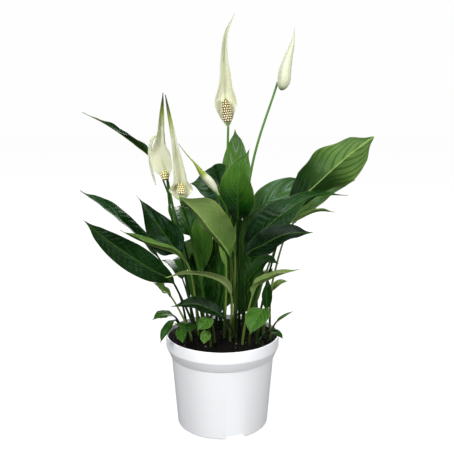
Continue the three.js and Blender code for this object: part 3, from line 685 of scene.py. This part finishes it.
def add_leaf(shape, leaf, curve, seed):
    """A round petiole that opens into a folded, waved blade with raised veins on its underside."""
    leaf = {**USUAL_LEAF, **leaf}
    collar = 1 / curve.spans
    blade_start = 2 * collar
    t = rows_along(collar, blade_start)
    u = np.clip((t - blade_start) / (1 - blade_start), 0, 1)
    length = curve.lengths(lerp(blade_start, 1, np.linspace(0, 1, 100)))[-1]
    columns = BLADE.columns
    far, hand, roundness = columns_across(columns)

    radius = lerp(PETIOLE.foot, PETIOLE.neck, smoothstep(t, collar, blade_start))
    spread = outline(u, leaf["widest"], leaf["taper"])
    spread = spread * (1 - BLADE.point_loss * smoothstep(u, *BLADE.point))
    opening = openness(u, BLADE)
    blade = smoothstep(u, 0, BLADE.flat)[:, None]
    tip = 1 - smoothstep(u, BLADE.tip, 1)
    half_width = np.maximum(leaf["width"] / 2 * spread, radius * lerp(1, BLADE.least, u))
    fold = math.radians(leaf["fold"]) * opening

    across = far * half_width[:, None]
    reach = u[:, None] - VEIN.slant * far - VEIN.arch * far**2
    vein = length / leaf["veins"] * reach
    quilt = np.abs(np.sin(math.pi * vein)) ** VEIN.fullness - VEIN.level
    inner = smoothstep(across, *VEIN.start) * (1 - far**6)
    swell = leaf["wave"] * opening * np.sin(math.pi * u)
    swing = 2 * math.pi * BLADE.ripples * u[:, None] + hand
    height, pace = BLADE.ruffle
    ruffle = height * np.sin(pace * swing + seed)
    lift = swell[:, None] * far**2 * (np.sin(swing) + ruffle * far)
    lift = lift + VEIN.relief * quilt * inner * (opening * tip)[:, None]

    rod = radius[:, None] * roundness
    groove = MIDRIB.groove * np.exp(-((across / MIDRIB.groove_width) ** 2))
    rib = lerp(*MIDRIB.height, u)[:, None] * np.exp(-((across / MIDRIB.width) ** 2))
    edge = BLADE.edge * thin_edge(far, BLADE.thinnest)
    upper = lerp(rod, edge - groove * tip[:, None], blade)
    lower = lerp(rod, edge + rib, blade)
    turned = smoothstep(u, *BLADE.turn)[:, None]
    face = lerp(np.array(leaf["face"]), np.array(leaf.get("tip_face", leaf["face"])), turned)
    # painted shade: a blade with a paler tip_tone is darker towards its foot
    tone = lerp(leaf["tone"], leaf.get("tip_tone", leaf["tone"]), smoothstep(u, *BLADE.pale))
    rings = strip(curve.frame(t, face), columns, half_width, fold, -fold / 2, upper, lower, lift)
    shape.loft(
        rings,
        blade=blade,
        across=both_faces(across),
        edge=both_faces(far),
        vein=both_faces(vein),
        height=rings[..., 2],
        tone=tone[:, None],
        ribbed=leaf["ribbed"],
        waxy=leaf["waxy"],
        under=np.repeat([0, 1], columns),
    )


def add_rod(shape, curve, face, radii, rows, columns, extra=0.0, **values):
    """A round rod along a curve, whose last ring is moved on by `extra`."""
    t = np.linspace(0, 1, rows)
    radius = lerp(*radii, smoothstep(t, 1 / curve.spans, 1))
    centre, side, up = curve.frame(t, face)
    centre[-1] += np.cross(up[-1], side[-1]) * extra
    rings = round_rings((centre, side, up), radius[:, None], ring_angles(2 * columns))
    shape.loft(rings, height=rings[..., 2], **values)


def make_leaves(material):
    for seed, (name, leaf) in enumerate(LEAVES.items()):
        shape = Shape()
        add_leaf(shape, leaf, Curve([*root_points(leaf["root"]), *leaf["blade"]]), seed)
        dress(shape.build(f"{name}_fine", material), name)


def make_shoots(material):
    rod = dict.fromkeys(("blade", "across", "edge", "vein", "under", "ribbed", "waxy"), 0)
    rod["tone"] = USUAL_LEAF["tone"]
    for seed, (name, shoot) in enumerate(SHOOTS.items()):
        shape = Shape()
        x, y = shoot["root"]
        upright = Curve([*root_points(shoot["root"]), (x, y, SHOOT.height)])
        radii = (SHOOT.radius, SHOOT.radius)
        add_rod(shape, upright, STEM_FACE, radii, SHOOT.rows, SHOOT.columns, **rod)
        for blade in shoot["blades"]:
            lean = unit(np.array([blade[0][0] - x, blade[0][1] - y])) * SHOOT.radius
            low, high = (np.array([x, y]) + lean * part for part in SHOOT.leaf_lean)
            start = [(*low, SHOOT.leaf_start), (*high, SHOOT.height + SHOOT.leaf_rise)]
            add_leaf(shape, SHOOT.leaf, Curve([*start, *blade]), seed)
        dress(shape.build(f"{name}_fine", material), name)


# ---------------------------------------------------------------- blooms


def stem_curve(bloom):
    return Curve([*root_points(bloom["root"]), *bloom["stem"]])


def spathe_curve(bloom):
    stem = stem_curve(bloom)
    start = bloom.get("foot", stem.at(1)[0] + stem.along(1)[0] * GAP * 3)
    return Curve([start, *bloom["spathe"]])


def add_open_spathe(shape, bloom, curve):
    """A hood that curls forward on both sides, with grooves that run from its foot to its tip."""
    columns = SPATHE.columns
    u = np.linspace(0, 1, SPATHE.rows) ** SPATHE.crowding
    far, hand, roundness = columns_across(columns)
    opening = openness(u, SPATHE)
    arc = bloom["width"] / 2 * outline(u, bloom["widest"], bloom["taper"])
    arc = arc * np.sqrt(np.clip(u / SPATHE.foot, 0, 1))
    foot = 1 - smoothstep(u, 0, SPATHE.neck)
    half_width = np.maximum(arc, STEM.neck * lerp(*SPATHE.least, foot))
    groove = SPATHE.groove * np.cos(2 * math.pi * SPATHE.veins * far) * (1 - far**8)
    height, pace, shift = SPATHE.flow
    flow = height * far**3 * np.sin(pace * u[:, None] + shift * hand) * opening[:, None]
    lift = groove * smoothstep(arc, *SPATHE.grooved)[:, None] + flow
    rod = STEM.neck * roundness
    edge = SPATHE.edge * thin_edge(far, SPATHE.thinnest)
    across = far * half_width[:, None]
    rib = SPATHE.rib * np.exp(-(across**2)) * (1 - u[:, None]) ** 0.5
    flat = smoothstep(u, 0, SPATHE.flat)[:, None]
    fold = np.zeros(len(u))
    cup = np.radians(lerp(*bloom["cup"], smoothstep(u, *bloom["close"]))) * opening
    frames = curve.frame(u, bloom["face"])
    upper = lerp(rod, edge, flat)
    lower = lerp(rod, edge + rib, flat)
    shape.loft(
        strip(frames, columns, half_width, fold, cup, upper, lower, lift),
        along=u[:, None],
        across=both_faces(across),
        edge=both_faces(far),
        under=np.repeat([0, 1], columns),
        green=bloom["green"],
    )


def add_furled_spathe(shape, bloom, curve):
    """A rolled-up spathe: its outer edge overlaps its inner one along a low step."""
    u = np.linspace(0, 1, FURLED.rows)
    swell = bloom["thickness"] / 2 * outline(u, bloom["widest"], bloom["taper"])
    radius = np.maximum(swell, STEM.neck * lerp(1, FURLED.tip, u**2))
    turn = np.arange(FURLED.sides) / FURLED.sides
    step = FURLED.overlap * (turn - 0.5)
    ridge = FURLED.ridge * np.cos(2 * math.pi * FURLED.ridges * turn)
    out = radius[:, None] * (1 + step + ridge)
    shape.loft(
        round_rings(curve.frame(u, STEM_FACE), out, math.pi - 2 * math.pi * turn),
        along=u[:, None],
        across=swell[:, None],
        edge=turn,
        under=1,
        green=bloom["green"],
    )


def spadix_body(bloom, curve, s):
    """Centre line, directions and radius of a spadix at each part s of its length."""
    start, length, radius = (bloom["spadix"][key] for key in ("start", "length", "radius"))
    centre, side, up = curve.frame(curve.t_at(start + s * length), bloom["face"])
    round_off = np.sqrt(np.maximum(1 - (2 * s - SPADIX.shift) ** 4, 0))
    girth = radius * round_off * (1 - SPADIX.narrowing * s)
    centre = centre + up * (SPADIX.spathe + GAP + radius * SPADIX.lift)
    return centre, side, up, np.maximum(girth, radius * SPADIX.end)


def add_flower(shape, seat, size, forward, out, **values):
    """A small dome that looks along `out`."""
    rings, sides = SPADIX.flower_rings, SPADIX.flower_sides
    aside = np.cross(forward, out)
    turn = 2 * math.pi * np.arange(sides) / sides
    level = np.linspace(0, 1, rings)[:, None]
    wide = size * np.cos(level * math.pi / 2 * SPADIX.flower_open)
    high = size * SPADIX.flower_height * np.sin(level * math.pi / 2)
    dome = (
        seat
        + aside * (wide * np.cos(turn))[..., None]
        + forward * (wide * np.sin(turn))[..., None]
        + out * np.broadcast_to(high, (rings, sides))[..., None]
    )
    shape.loft(dome, top=level, **values)


def add_spadix(shape, bloom, curve):
    """A fleshy core set all over with small round flowers."""
    ripe = bloom["spadix"]["ripe"]
    s = np.linspace(0, 1, SPADIX.rows)
    *frames, radius = spadix_body(bloom, curve, s)
    core = round_rings(frames, radius[:, None] * SPADIX.core, ring_angles(SPADIX.sides))
    shape.loft(core, top=0, along=s[:, None], ripe=ripe)

    pitch = SPADIX.pitch
    rows = max(int(bloom["spadix"]["length"] / (pitch * SPADIX.row_pitch)), FEWEST.rows)
    for row in range(rows):
        part = (row + 0.5) / rows
        mid, right, front, girth = (v[0] for v in spadix_body(bloom, curve, np.array([part])))
        around = max(int(2 * math.pi * girth / pitch), FEWEST.around)
        forward = unit(np.cross(front, right))
        size = math.pi * girth / around * SPADIX.flower
        for k in range(around):
            angle = 2 * math.pi * (k + 0.5 * (row % 2)) / around
            out = right * math.cos(angle) + front * math.sin(angle)
            add_flower(shape, mid + out * girth * SPADIX.seat, size, forward, out, along=part, ripe=ripe)


def make_blooms(stem_finish, spathe_finish, spadix_finish):
    radii = (STEM.foot, STEM.neck)
    for name, bloom in BLOOMS.items():
        stem = Shape()
        add_rod(stem, stem_curve(bloom), STEM_FACE, radii, STEM.rows, STEM.columns, STEM.plug)
        dress(stem.build(f"{name}_stem_fine", stem_finish), f"{name}_stem")
        curve = spathe_curve(bloom)
        spathe = Shape()
        add_spathe = add_furled_spathe if "thickness" in bloom else add_open_spathe
        add_spathe(spathe, bloom, curve)
        dress(spathe.build(f"{name}_spathe_fine", spathe_finish), f"{name}_spathe")
        if "spadix" in bloom:
            spadix = Shape()
            add_spadix(spadix, bloom, curve)
            dress(spadix.build(f"{name}_spadix_fine", spadix_finish), f"{name}_spadix")


# ---------------------------------------------------------------- pot and soil


def rounded(profile, corners):
    """Rounds the corners of a closed outline; `corners` gives a radius for each point."""
    points = [np.array(p, float) for p in profile]
    out = []
    for k, point in enumerate(points):
        radius = corners[k]
        if radius == 0:
            out.append(point)
            continue
        into = unit(points[k - 1] - point)
        away = unit(points[(k + 1) % len(points)] - point)
        half = math.acos(np.clip(into @ away, -1, 1)) / 2
        reach = radius / math.tan(half)
        middle = point + unit(into + away) * radius / math.sin(half)
        first = point + into * reach - middle
        last = point + away * reach - middle
        for step in range(ROUNDING.steps + 1):
            out.append(middle + unit(lerp(first, last, step / ROUNDING.steps)) * radius)
    return np.array(out)


def revolve_piece(name, profile, sides, material):
    """A closed body of revolution about Z, whose outline starts and ends on the axis."""
    rings = len(profile) - 2
    angle = 2 * math.pi * np.arange(sides) / sides
    radius, height = profile[1:-1, :1], profile[1:-1, 1:]
    x = radius * np.cos(angle)
    y = radius * np.sin(angle)
    points = np.stack([x, y, np.broadcast_to(height, x.shape)], axis=-1).reshape(-1, 3)
    poles = [[0, 0, profile[0, 1]], [0, 0, profile[-1, 1]]]
    low_pole = rings * sides
    last = (rings - 1) * sides
    faces = side_faces(rings, sides).tolist()
    faces += [[low_pole, (k + 1) % sides, k] for k in range(sides)]
    faces += [[low_pole + 1, last + k, last + (k + 1) % sides] for k in range(sides)]
    return new_piece(name, np.vstack([points, poles]), faces, material)


def inner_wall(inset):
    """Inner face of the pot's wall from its floor up to its lip, drawn in by `inset`."""
    wall = POT.wall
    return [
        (POT.inner_foot_radius - inset, POT.channel_height + wall + inset),
        (POT.body_radius - wall - inset, POT.inner_collar_height),
        (POT.rim_radius - wall - inset, POT.inner_lip_height),
    ]


def inner_floor(inset):
    """Upper face of the pot's floor, from the axis outwards, raised by `inset`."""
    wall = POT.wall
    dip = POT.channel_inner - wall - inset
    return [
        (0, wall + inset),
        (dip, wall + inset),
        (dip + POT.floor_slope, POT.channel_height + wall + inset),
    ]


def prism(name, low, high):
    """A closed body between two outlines with the same number of points."""
    n = len(low)
    sides = [[k, (k + 1) % n, n + (k + 1) % n, n + k] for k in range(n)]
    return new_piece(name, [*low, *high], [list(range(n))[::-1], list(range(n, 2 * n)), *sides])


def notch_cutter(angle):
    half = POT.notch_width / 2
    top = POT.channel_height
    left, right = POT.notch_slopes
    low = -POT.cut_past
    shape = [(-half, low), (half, low), (half - right, top), (-half + left, top)]
    cos, sin = math.cos(angle), math.sin(angle)
    ends = []
    for out in (POT.channel_outer - POT.notch_past, POT.foot_radius + POT.notch_past):
        ends.append([(out * cos - aside * sin, out * sin + aside * cos, z) for aside, z in shape])
    return prism("notch", *ends)


def drain_cutter(angle):
    middle = (POT.channel_inner + POT.channel_outer) / 2
    radius = POT.drain_radius
    x, y = middle * math.cos(angle), middle * math.sin(angle)
    sides = POT.drain_sides
    turns = [2 * math.pi * k / sides for k in range(sides)]
    ends = []
    for z in (POT.channel_height - POT.cut_past, POT.channel_height + POT.wall + POT.cut_past):
        ends.append([(x + radius * math.cos(turn), y + radius * math.sin(turn), z) for turn in turns])
    return prism("drain", *ends)


def cut(piece, cutters):
    """Takes the cutters out of the piece and removes them."""
    for tool in cutters:
        modifier = piece.modifiers.new("cut", "BOOLEAN")
        modifier.operation = "DIFFERENCE"
        modifier.solver = "EXACT"
        modifier.object = tool
    evaluated = piece.evaluated_get(bpy.context.evaluated_depsgraph_get())
    mesh = bpy.data.meshes.new_from_object(evaluated)
    piece.modifiers.clear()
    piece.data = mesh
    for tool in cutters:
        bpy.data.objects.remove(tool)


def make_pot(material):
    inner, outer = POT.channel_inner, POT.channel_outer
    inner_slope, outer_slope = POT.channel_slopes
    under = [
        (0, 0),
        (inner, 0),
        (inner + inner_slope, POT.channel_height),
        (outer, POT.channel_height),
        (outer + outer_slope, 0),
        (POT.foot_radius, 0),
    ]
    outside = [
        (POT.body_radius, POT.collar_height),
        (POT.collar_radius, POT.collar_height),
        (POT.rim_radius, POT.lip_height),
        (POT.rim_radius, POT.height),
        (POT.rim_radius - POT.wall, POT.height),
    ]
    corners = [*ROUNDING.under, *ROUNDING.outside, *ROUNDING.inside]
    profile = [*under, *outside, *inner_wall(0)[::-1], *inner_floor(0)[::-1]]
    pot = revolve_piece("pot_fine", rounded(profile, corners), POT.sides, material)
    notches, drains = POT.notch_count, POT.drain_count
    cutters = [notch_cutter(math.radians(POT.notch_angle + 360 / notches * k)) for k in range(notches)]
    cutters += [drain_cutter(math.radians(360 / drains * k)) for k in range(drains)]
    cut(pot, cutters)
    smooth(pot, POT.sharp)
    dress(pot, "pot")


def soil_edge():
    return POT.rim_radius - POT.wall - GAP


def soil_level(part):
    """Height of the soil at a part of the way from its middle to its edge, without its crumbs."""
    return lerp(SOIL.middle_height, SOIL.edge_height, part**2)


def crumbly(x, y):
    """Uneven ground: a few long swells with crumbs on them."""
    height = 0
    for size, (ax, ay, a_shift), (bx, by, b_shift) in SOIL.waves:
        height = height + size * np.sin(ax * x + ay * y + a_shift) * np.cos(bx * x + by * y + b_shift)
    return height


def make_soil(material):
    edge = soil_edge()
    out = np.linspace(1, 0, SOIL.rings)
    top = [(edge * part, soil_level(part)) for part in out]
    profile = np.array([*inner_floor(GAP), *inner_wall(GAP), *top])
    soil = revolve_piece("soil_fine", profile, SOIL.sides, material)
    points = np.empty(len(soil.data.vertices) * 3)
    soil.data.vertices.foreach_get("co", points)
    points = points.reshape(-1, 3) / MM
    near_edge = 0.1
    inside = np.hypot(points[:, 0], points[:, 1]) < edge - near_edge
    surface = inside & (points[:, 2] > SOIL.edge_height - near_edge)
    points[surface, 2] += crumbly(points[surface, 0], points[surface, 1])
    soil.data.vertices.foreach_set("co", (points * MM).reshape(-1))
    soil.data.update()
    smooth(soil)
    dress(soil, "soil")


def make_crumbs(material):
    """Loose crumbs and bits of bark on the soil."""
    random = np.random.default_rng(7)
    ball = bmesh.new()
    bmesh.ops.create_icosphere(ball, subdivisions=2, radius=1)
    template = np.array([vertex.co[:] for vertex in ball.verts])
    faces = np.array([[vertex.index for vertex in face.verts] for face in ball.faces])
    ball.free()
    shape = Shape()
    rough = CRUMB.rough
    for _ in range(CRUMB.count):
        radius = (soil_edge() - CRUMB.inset) * math.sqrt(random.uniform(0, 1))
        angle = random.uniform(0, 2 * math.pi)
        x, y = radius * math.cos(angle), radius * math.sin(angle)
        size = random.uniform(*CRUMB.size)
        stretch = size * random.uniform(*CRUMB.stretch, 3)
        crumb = template * (1 + random.uniform(-rough, rough, (len(template), 1))) * stretch
        spin = random.uniform(0, math.pi)
        cos, sin = math.cos(spin), math.sin(spin)
        ground = soil_level(radius / soil_edge()) + crumbly(x, y) + size * CRUMB.rise
        points = crumb @ np.array([[cos, sin, 0], [-sin, cos, 0], [0, 0, 1]]) + [x, y, ground]
        shape.add(points, faces, grain=random.uniform(0, 1))
    crumbs = shape.build("soil_crumbs", material, sharp=180)
    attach(crumbs, "root")


# ---------------------------------------------------------------- materials


def srgb(red, green, blue):
    """A colour as a screen shows it, 0 to 255, as the linear values that a shader takes."""
    parts = [v / 255 for v in (red, green, blue)]
    linear = [v / 12.92 if v <= 0.04045 else ((v + 0.055) / 1.055) ** 2.4 for v in parts]
    return (*linear, 1)


class Value:
    """What a node gives out: it adds and multiplies like a number, by new nodes."""

    def __init__(self, shader, socket):
        self.shader = shader
        self.socket = socket

    def __add__(self, other):
        return self.shader.math("ADD", self, other)

    def __sub__(self, other):
        return self.shader.math("SUBTRACT", self, other)

    def __mul__(self, other):
        return self.shader.math("MULTIPLY", self, other)

    def __pow__(self, other):
        return self.shader.math("POWER", self, other)


class Shader:
    """A short way to write a node-based material."""

    def __init__(self, name, **sockets):
        self.material = bpy.data.materials.new(name)
        self.material.use_nodes = True
        self.nodes = self.material.node_tree.nodes
        self.links = self.material.node_tree.links
        self.surface = self.nodes["Principled BSDF"]
        for socket, value in sockets.items():
            self.surface.inputs[socket.replace("_", " ")].default_value = value

    def put(self, node, inputs, output=0):
        """Sets inputs to numbers, colours or values of other nodes, and gives an output's value."""
        for key, value in inputs.items():
            if isinstance(value, Value):
                self.links.new(value.socket, node.inputs[key])
            else:
                node.inputs[key].default_value = value
        return Value(self, node.outputs[output])

    def read(self, name):
        """A number that the mesh carries at its points."""
        node = self.nodes.new("ShaderNodeAttribute")
        node.attribute_name = name
        return self.put(node, {}, "Fac")

    def math(self, operation, first, second=0.0):
        node = self.nodes.new("ShaderNodeMath")
        node.operation = operation
        return self.put(node, {0: first, 1: second})

    def between(self, value, low, high, to_low=0.0, to_high=1.0):
        """Maps a value smoothly from the range low to high."""
        node = self.nodes.new("ShaderNodeMapRange")
        node.interpolation_type = "SMOOTHSTEP"
        return self.put(node, {0: value, 1: low, 2: high, 3: to_low, 4: to_high})

    def ramp(self, value, colours):
        """A value from 0 to 1 as a colour, through evenly spaced screen colours."""
        node = self.nodes.new("ShaderNodeValToRGB")
        stops = node.color_ramp.elements
        while len(stops) < len(colours):
            stops.new(1)
        for k, colour in enumerate(colours):
            stops[k].position = k / (len(colours) - 1)
            stops[k].color = srgb(*colour)
        return self.put(node, {0: value})

    def mix(self, part, first, second):
        """From the first colour to the second one as `part` goes from 0 to 1."""
        node = self.nodes.new("ShaderNodeMix")
        node.data_type = "RGBA"
        return self.put(node, {0: part, 6: first, 7: second}, 2)

    def noise(self, scale, detail=3, stretch=None):
        """Noise in the object's own millimetres, drawn out along an axis by `stretch`."""
        where = self.put(self.nodes.new("ShaderNodeTexCoord"), {}, "Object")
        if stretch:
            where = self.put(self.nodes.new("ShaderNodeMapping"), {0: where, 3: stretch})
        node = self.nodes.new("ShaderNodeTexNoise")
        return self.put(node, {"Vector": where, "Scale": scale / MM, "Detail": detail}, "Fac")

    def noise_at(self, x, y):
        """Noise over two values in place of a position."""
        where = self.put(self.nodes.new("ShaderNodeCombineXYZ"), {"X": x, "Y": y})
        return self.put(self.nodes.new("ShaderNodeTexNoise"), {"Vector": where, "Scale": 1}, "Fac")

    def line(self, phase, sharpness):
        """1 where the phase is a whole number, falling to 0 between; a higher sharpness is thinner."""
        return ((self.math("COSINE", phase * (2 * math.pi)) + 1) * 0.5) ** sharpness

    def bump(self, height, depth):
        """A normal from a height of which 1 stands for `depth` millimetres."""
        node = self.nodes.new("ShaderNodeBump")
        return self.put(node, {"Height": height, "Distance": depth * MM, "Strength": 1})

    def finish(self, colour, roughness, normal):
        self.put(self.surface, {"Base Color": colour, "Roughness": roughness, "Normal": normal})
        return self.material


# from the darkest leaf to the palest
TOP_COLOURS = [(3, 22, 2), (16, 54, 7), (58, 98, 30), (98, 130, 56), (146, 162, 100)]
BACK_COLOURS = [(8, 32, 3), (36, 68, 18), (82, 112, 50), (112, 140, 72), (144, 164, 102)]


def leaf_material():
    """Fine veins and painted sheen streaks above, painted shade between the raised veins below, a painted
    highlight along the rim, and a stalk painted darker near the soil as shade.
    """
    s = Shader("leaf", Specular_IOR_Level=0.18)
    names = ("blade", "under", "vein", "across", "edge", "tone")
    blade, under, vein, across, edge, tone = (s.read(name) for name in names)
    main_vein = s.line(vein, 26)
    furrow = s.line(vein + 0.5, 3)
    fine_vein = s.line(vein * VEIN.fine, 2)
    streaks = s.noise_at(vein * 2.5, across * 0.07)
    patches = s.noise(0.045)
    # painted reflection: pale bluish streaks that stand for the sheen of the lights on chosen leaves
    wax = s.between(streaks, 0.46, 0.7) * s.between(patches, 0.4, 0.6) * s.read("waxy")
    midrib = s.between(across, 1.3, 0.5)
    specks = s.noise(0.6, 2)

    varied = tone + (patches - 0.5) * 0.35 + (streaks - 0.5) * 0.25
    top = s.ramp(varied, TOP_COLOURS)
    top = s.mix(main_vein * 0.3, top, srgb(12, 40, 6))
    top = s.mix(wax * 0.7, top, srgb(128, 160, 156))
    top = s.mix(midrib * 0.12, top, srgb(110, 150, 60))
    back = s.ramp(varied, BACK_COLOURS)
    # painted shade: the furrows between the raised veins of the underside are darkened
    furrow_shade_colour = s.mix(tone, srgb(20, 56, 10), srgb(58, 92, 26))
    back = s.mix(furrow * s.read("ribbed") * 0.9, back, furrow_shade_colour)
    back = s.mix(midrib * 0.6, back, srgb(140, 168, 90))
    lamina = s.mix(under, top, back)
    # painted highlight: a pale line along the leaf's edge
    painted_rim_highlight = s.mix(tone, srgb(60, 90, 26), srgb(176, 186, 96))
    lamina = s.mix(s.between(edge, 0.94, 0.99) * 0.4, lamina, painted_rim_highlight)
    # stalks of dark-toned leaves are darker, partly as painted shade deep in the plant
    stalk = s.mix(s.between(tone, 0.3, 0.8), srgb(22, 46, 12), srgb(112, 136, 60))
    # painted shade: the stalk darkens towards the soil, down among the leaves
    stalk = s.mix(s.between(s.read("height"), 150, 98) * 0.6, stalk, srgb(18, 30, 8))
    stalk = s.mix(specks * 0.4, stalk, srgb(16, 34, 8))

    roughness = streaks * 0.2 + under * 0.22 + 0.17
    relief = fine_vein * -0.6 + main_vein * -0.8 + streaks * 0.4
    return s.finish(s.mix(blade, stalk, lamina), roughness, s.bump(relief * blade, 0.14))


def stem_material():
    s = Shader("stem", Specular_IOR_Level=0.3)
    height = s.read("height")
    fibres = s.noise(1.2, stretch=(1, 1, 0.04))
    # painted shade and light: darker near the soil where the leaves shade the stems, paler high up where
    # they stand in the light
    colour = s.mix(s.between(height, 98, 170), srgb(24, 44, 10), srgb(46, 84, 22))
    colour = s.mix(s.between(height, 220, 300), colour, srgb(84, 132, 44))
    colour = s.mix(fibres * 0.4, colour, srgb(26, 56, 12))
    return s.finish(colour, fibres * 0.2 + 0.24, s.bump(fibres, 0.08))


def spathe_material():
    """Cream with faint veins, green at its foot and, from `green` along it, towards its dark tip."""
    s = Shader("spathe", Specular_IOR_Level=0.4, Subsurface_Weight=0.25, Subsurface_Scale=0.002)
    s.surface.inputs["Subsurface Radius"].default_value = (1.0, 0.9, 0.5)
    along = s.read("along")
    veins = s.line(s.read("edge") * SPATHE.veins, 8)
    fibres = s.noise(0.5)
    midrib = s.between(s.read("across"), 1.8, 0.3)
    fresh = s.between(along - s.read("green"), 0.0, 0.12)
    colour = s.mix(fibres, srgb(211, 213, 190), srgb(202, 204, 176))
    colour = s.mix(veins * 0.35, colour, srgb(186, 190, 136))
    colour = s.mix(midrib * s.between(along, 0.6, 0.1) * 0.7, colour, srgb(150, 164, 80))
    colour = s.mix(s.between(along, 0.14, 0.0) * 0.8, colour, srgb(120, 150, 60))
    colour = s.mix(fresh, colour, srgb(134, 152, 52))
    colour = s.mix(fresh * s.between(along, 0.88, 0.97), colour, srgb(40, 56, 14))
    relief = (veins * -1.0 + fibres * 0.4) * (s.read("under") * -0.3 + 1)
    return s.finish(colour, fibres * 0.15 + 0.42, s.bump(relief, 0.1))


def spadix_material():
    s = Shader("spadix", Specular_IOR_Level=0.3)
    bud = s.mix(s.read("along"), srgb(255, 250, 218), srgb(240, 234, 172))
    gap = s.mix(s.read("ripe"), srgb(170, 160, 84), srgb(96, 66, 20))
    grain = s.noise(1.5, 2)
    colour = s.mix(s.between(s.read("top"), 0.2, 0.6), gap, bud)
    colour = s.mix(grain * 0.1, colour, srgb(190, 170, 110))
    return s.finish(colour, grain * 0.2 + 0.55, s.bump(grain, 0.1))


def soil_material():
    s = Shader("soil", Specular_IOR_Level=0.1)
    clods = s.noise(0.25, 6)
    grains = s.noise(1.6, 4)
    colour = s.mix(clods, srgb(5, 4, 4), srgb(16, 13, 11))
    colour = s.mix(s.between(grains, 0.62, 0.75), colour, srgb(34, 28, 22))
    return s.finish(colour, grains * 0.2 + 0.75, s.bump(clods * 2.0 + grains, 0.5))


def crumb_material():
    """Nearly all are as dark as the soil, and a few are pale."""
    s = Shader("soil_crumbs", Specular_IOR_Level=0.1)
    grain = s.read("grain")
    texture = s.noise(2.0, 4)
    colour = s.mix(s.between(grain, 0.0, 0.9), srgb(6, 5, 5), srgb(22, 18, 14))
    colour = s.mix(s.between(grain, 0.96, 0.97), colour, srgb(90, 84, 74))
    colour = s.mix(texture * 0.4, colour, srgb(9, 7, 6))
    return s.finish(colour, texture * 0.2 + 0.75, s.bump(texture, 0.4))


def pot_material():
    s = Shader("pot_plastic", Specular_IOR_Level=0.45, Subsurface_Weight=0.05, Subsurface_Scale=0.002)
    pores = s.noise(2.2)
    colour = s.mix(s.noise(0.02, 4, (1, 1, 0.3)), srgb(242, 243, 245), srgb(237, 238, 241))
    return s.finish(colour, pores * 0.12 + 0.34, s.bump(pores, 0.03))


# ---------------------------------------------------------------- floor, light and camera


def make_floor():
    """A plain floor as bright as the background, which throws little of that light on the plant."""
    s = Shader("floor", Specular_IOR_Level=0.0, Emission_Color=(1, 1, 1, 1), Roughness=0.9)
    s.surface.inputs["Base Color"].default_value = srgb(*STUDIO.floor_grey)
    seen = s.put(s.nodes.new("ShaderNodeLightPath"), {}, "Is Camera Ray")
    glow = s.between(seen, 0, 1, STUDIO.unseen_light, STUDIO.floor_glow)
    s.put(s.surface, {"Emission Strength": glow})
    half = STUDIO.floor_half_width
    corners = [(-half, -half, 0), (half, -half, 0), (half, half, 0), (-half, half, 0)]
    floor = new_piece("floor", corners, [[0, 1, 2, 3]], s.material)


def make_background():
    """What the camera sees is nearly white, and what lights the plant is much darker."""
    world = bpy.data.worlds.new("studio")
    bpy.context.scene.world = world
    world.use_nodes = True
    nodes = world.node_tree.nodes
    links = world.node_tree.links
    seen = nodes["Background"]
    seen.inputs["Color"].default_value = STUDIO.seen
    lit = nodes.new("ShaderNodeBackground")
    lit.inputs["Color"].default_value = STUDIO.unseen
    lit.inputs["Strength"].default_value = STUDIO.unseen_light
    choice = nodes.new("ShaderNodeMixShader")
    links.new(nodes.new("ShaderNodeLightPath").outputs["Is Camera Ray"], choice.inputs[0])
    links.new(lit.outputs[0], choice.inputs[1])
    links.new(seen.outputs[0], choice.inputs[2])
    links.new(choice.outputs[0], nodes["World Output"].inputs[0])


def make_lights():
    """Softboxes that look at the middle of the plant."""
    for name, light in LIGHTS.items():
        data = bpy.data.lights.new(name, "AREA")
        data.shape = "RECTANGLE"
        data.energy = light["watts"]
        data.color = light.get("colour", (1, 1, 1))
        data.size, data.size_y = light["size"]
        piece = bpy.data.objects.new(name, data)
        piece.location = light["place"]
        look = Vector(STUDIO.middle) - Vector(light["place"])
        piece.rotation_euler = look.to_track_quat("-Z", "Y").to_euler()
        bpy.context.scene.collection.objects.link(piece)


def make_camera():
    data = bpy.data.cameras.new("camera")
    data.lens = CAMERA.lens
    data.sensor_width = CAMERA.sensor
    camera = bpy.data.objects.new("camera", data)
    camera.location = CAMERA.place
    camera.rotation_euler = (math.radians(CAMERA.tilt), 0, 0)
    bpy.context.scene.collection.objects.link(camera)
    bpy.context.scene.camera = camera


# ---------------------------------------------------------------- the whole plant

leaf_finish = leaf_material()
make_leaves(leaf_finish)
make_shoots(leaf_finish)
make_blooms(stem_material(), spathe_material(), spadix_material())
make_soil(soil_material())
make_crumbs(crumb_material())
make_pot(pot_material())
make_floor()
make_background()
make_lights()
make_camera()
bpy.context.scene.view_settings.view_transform = "Standard"
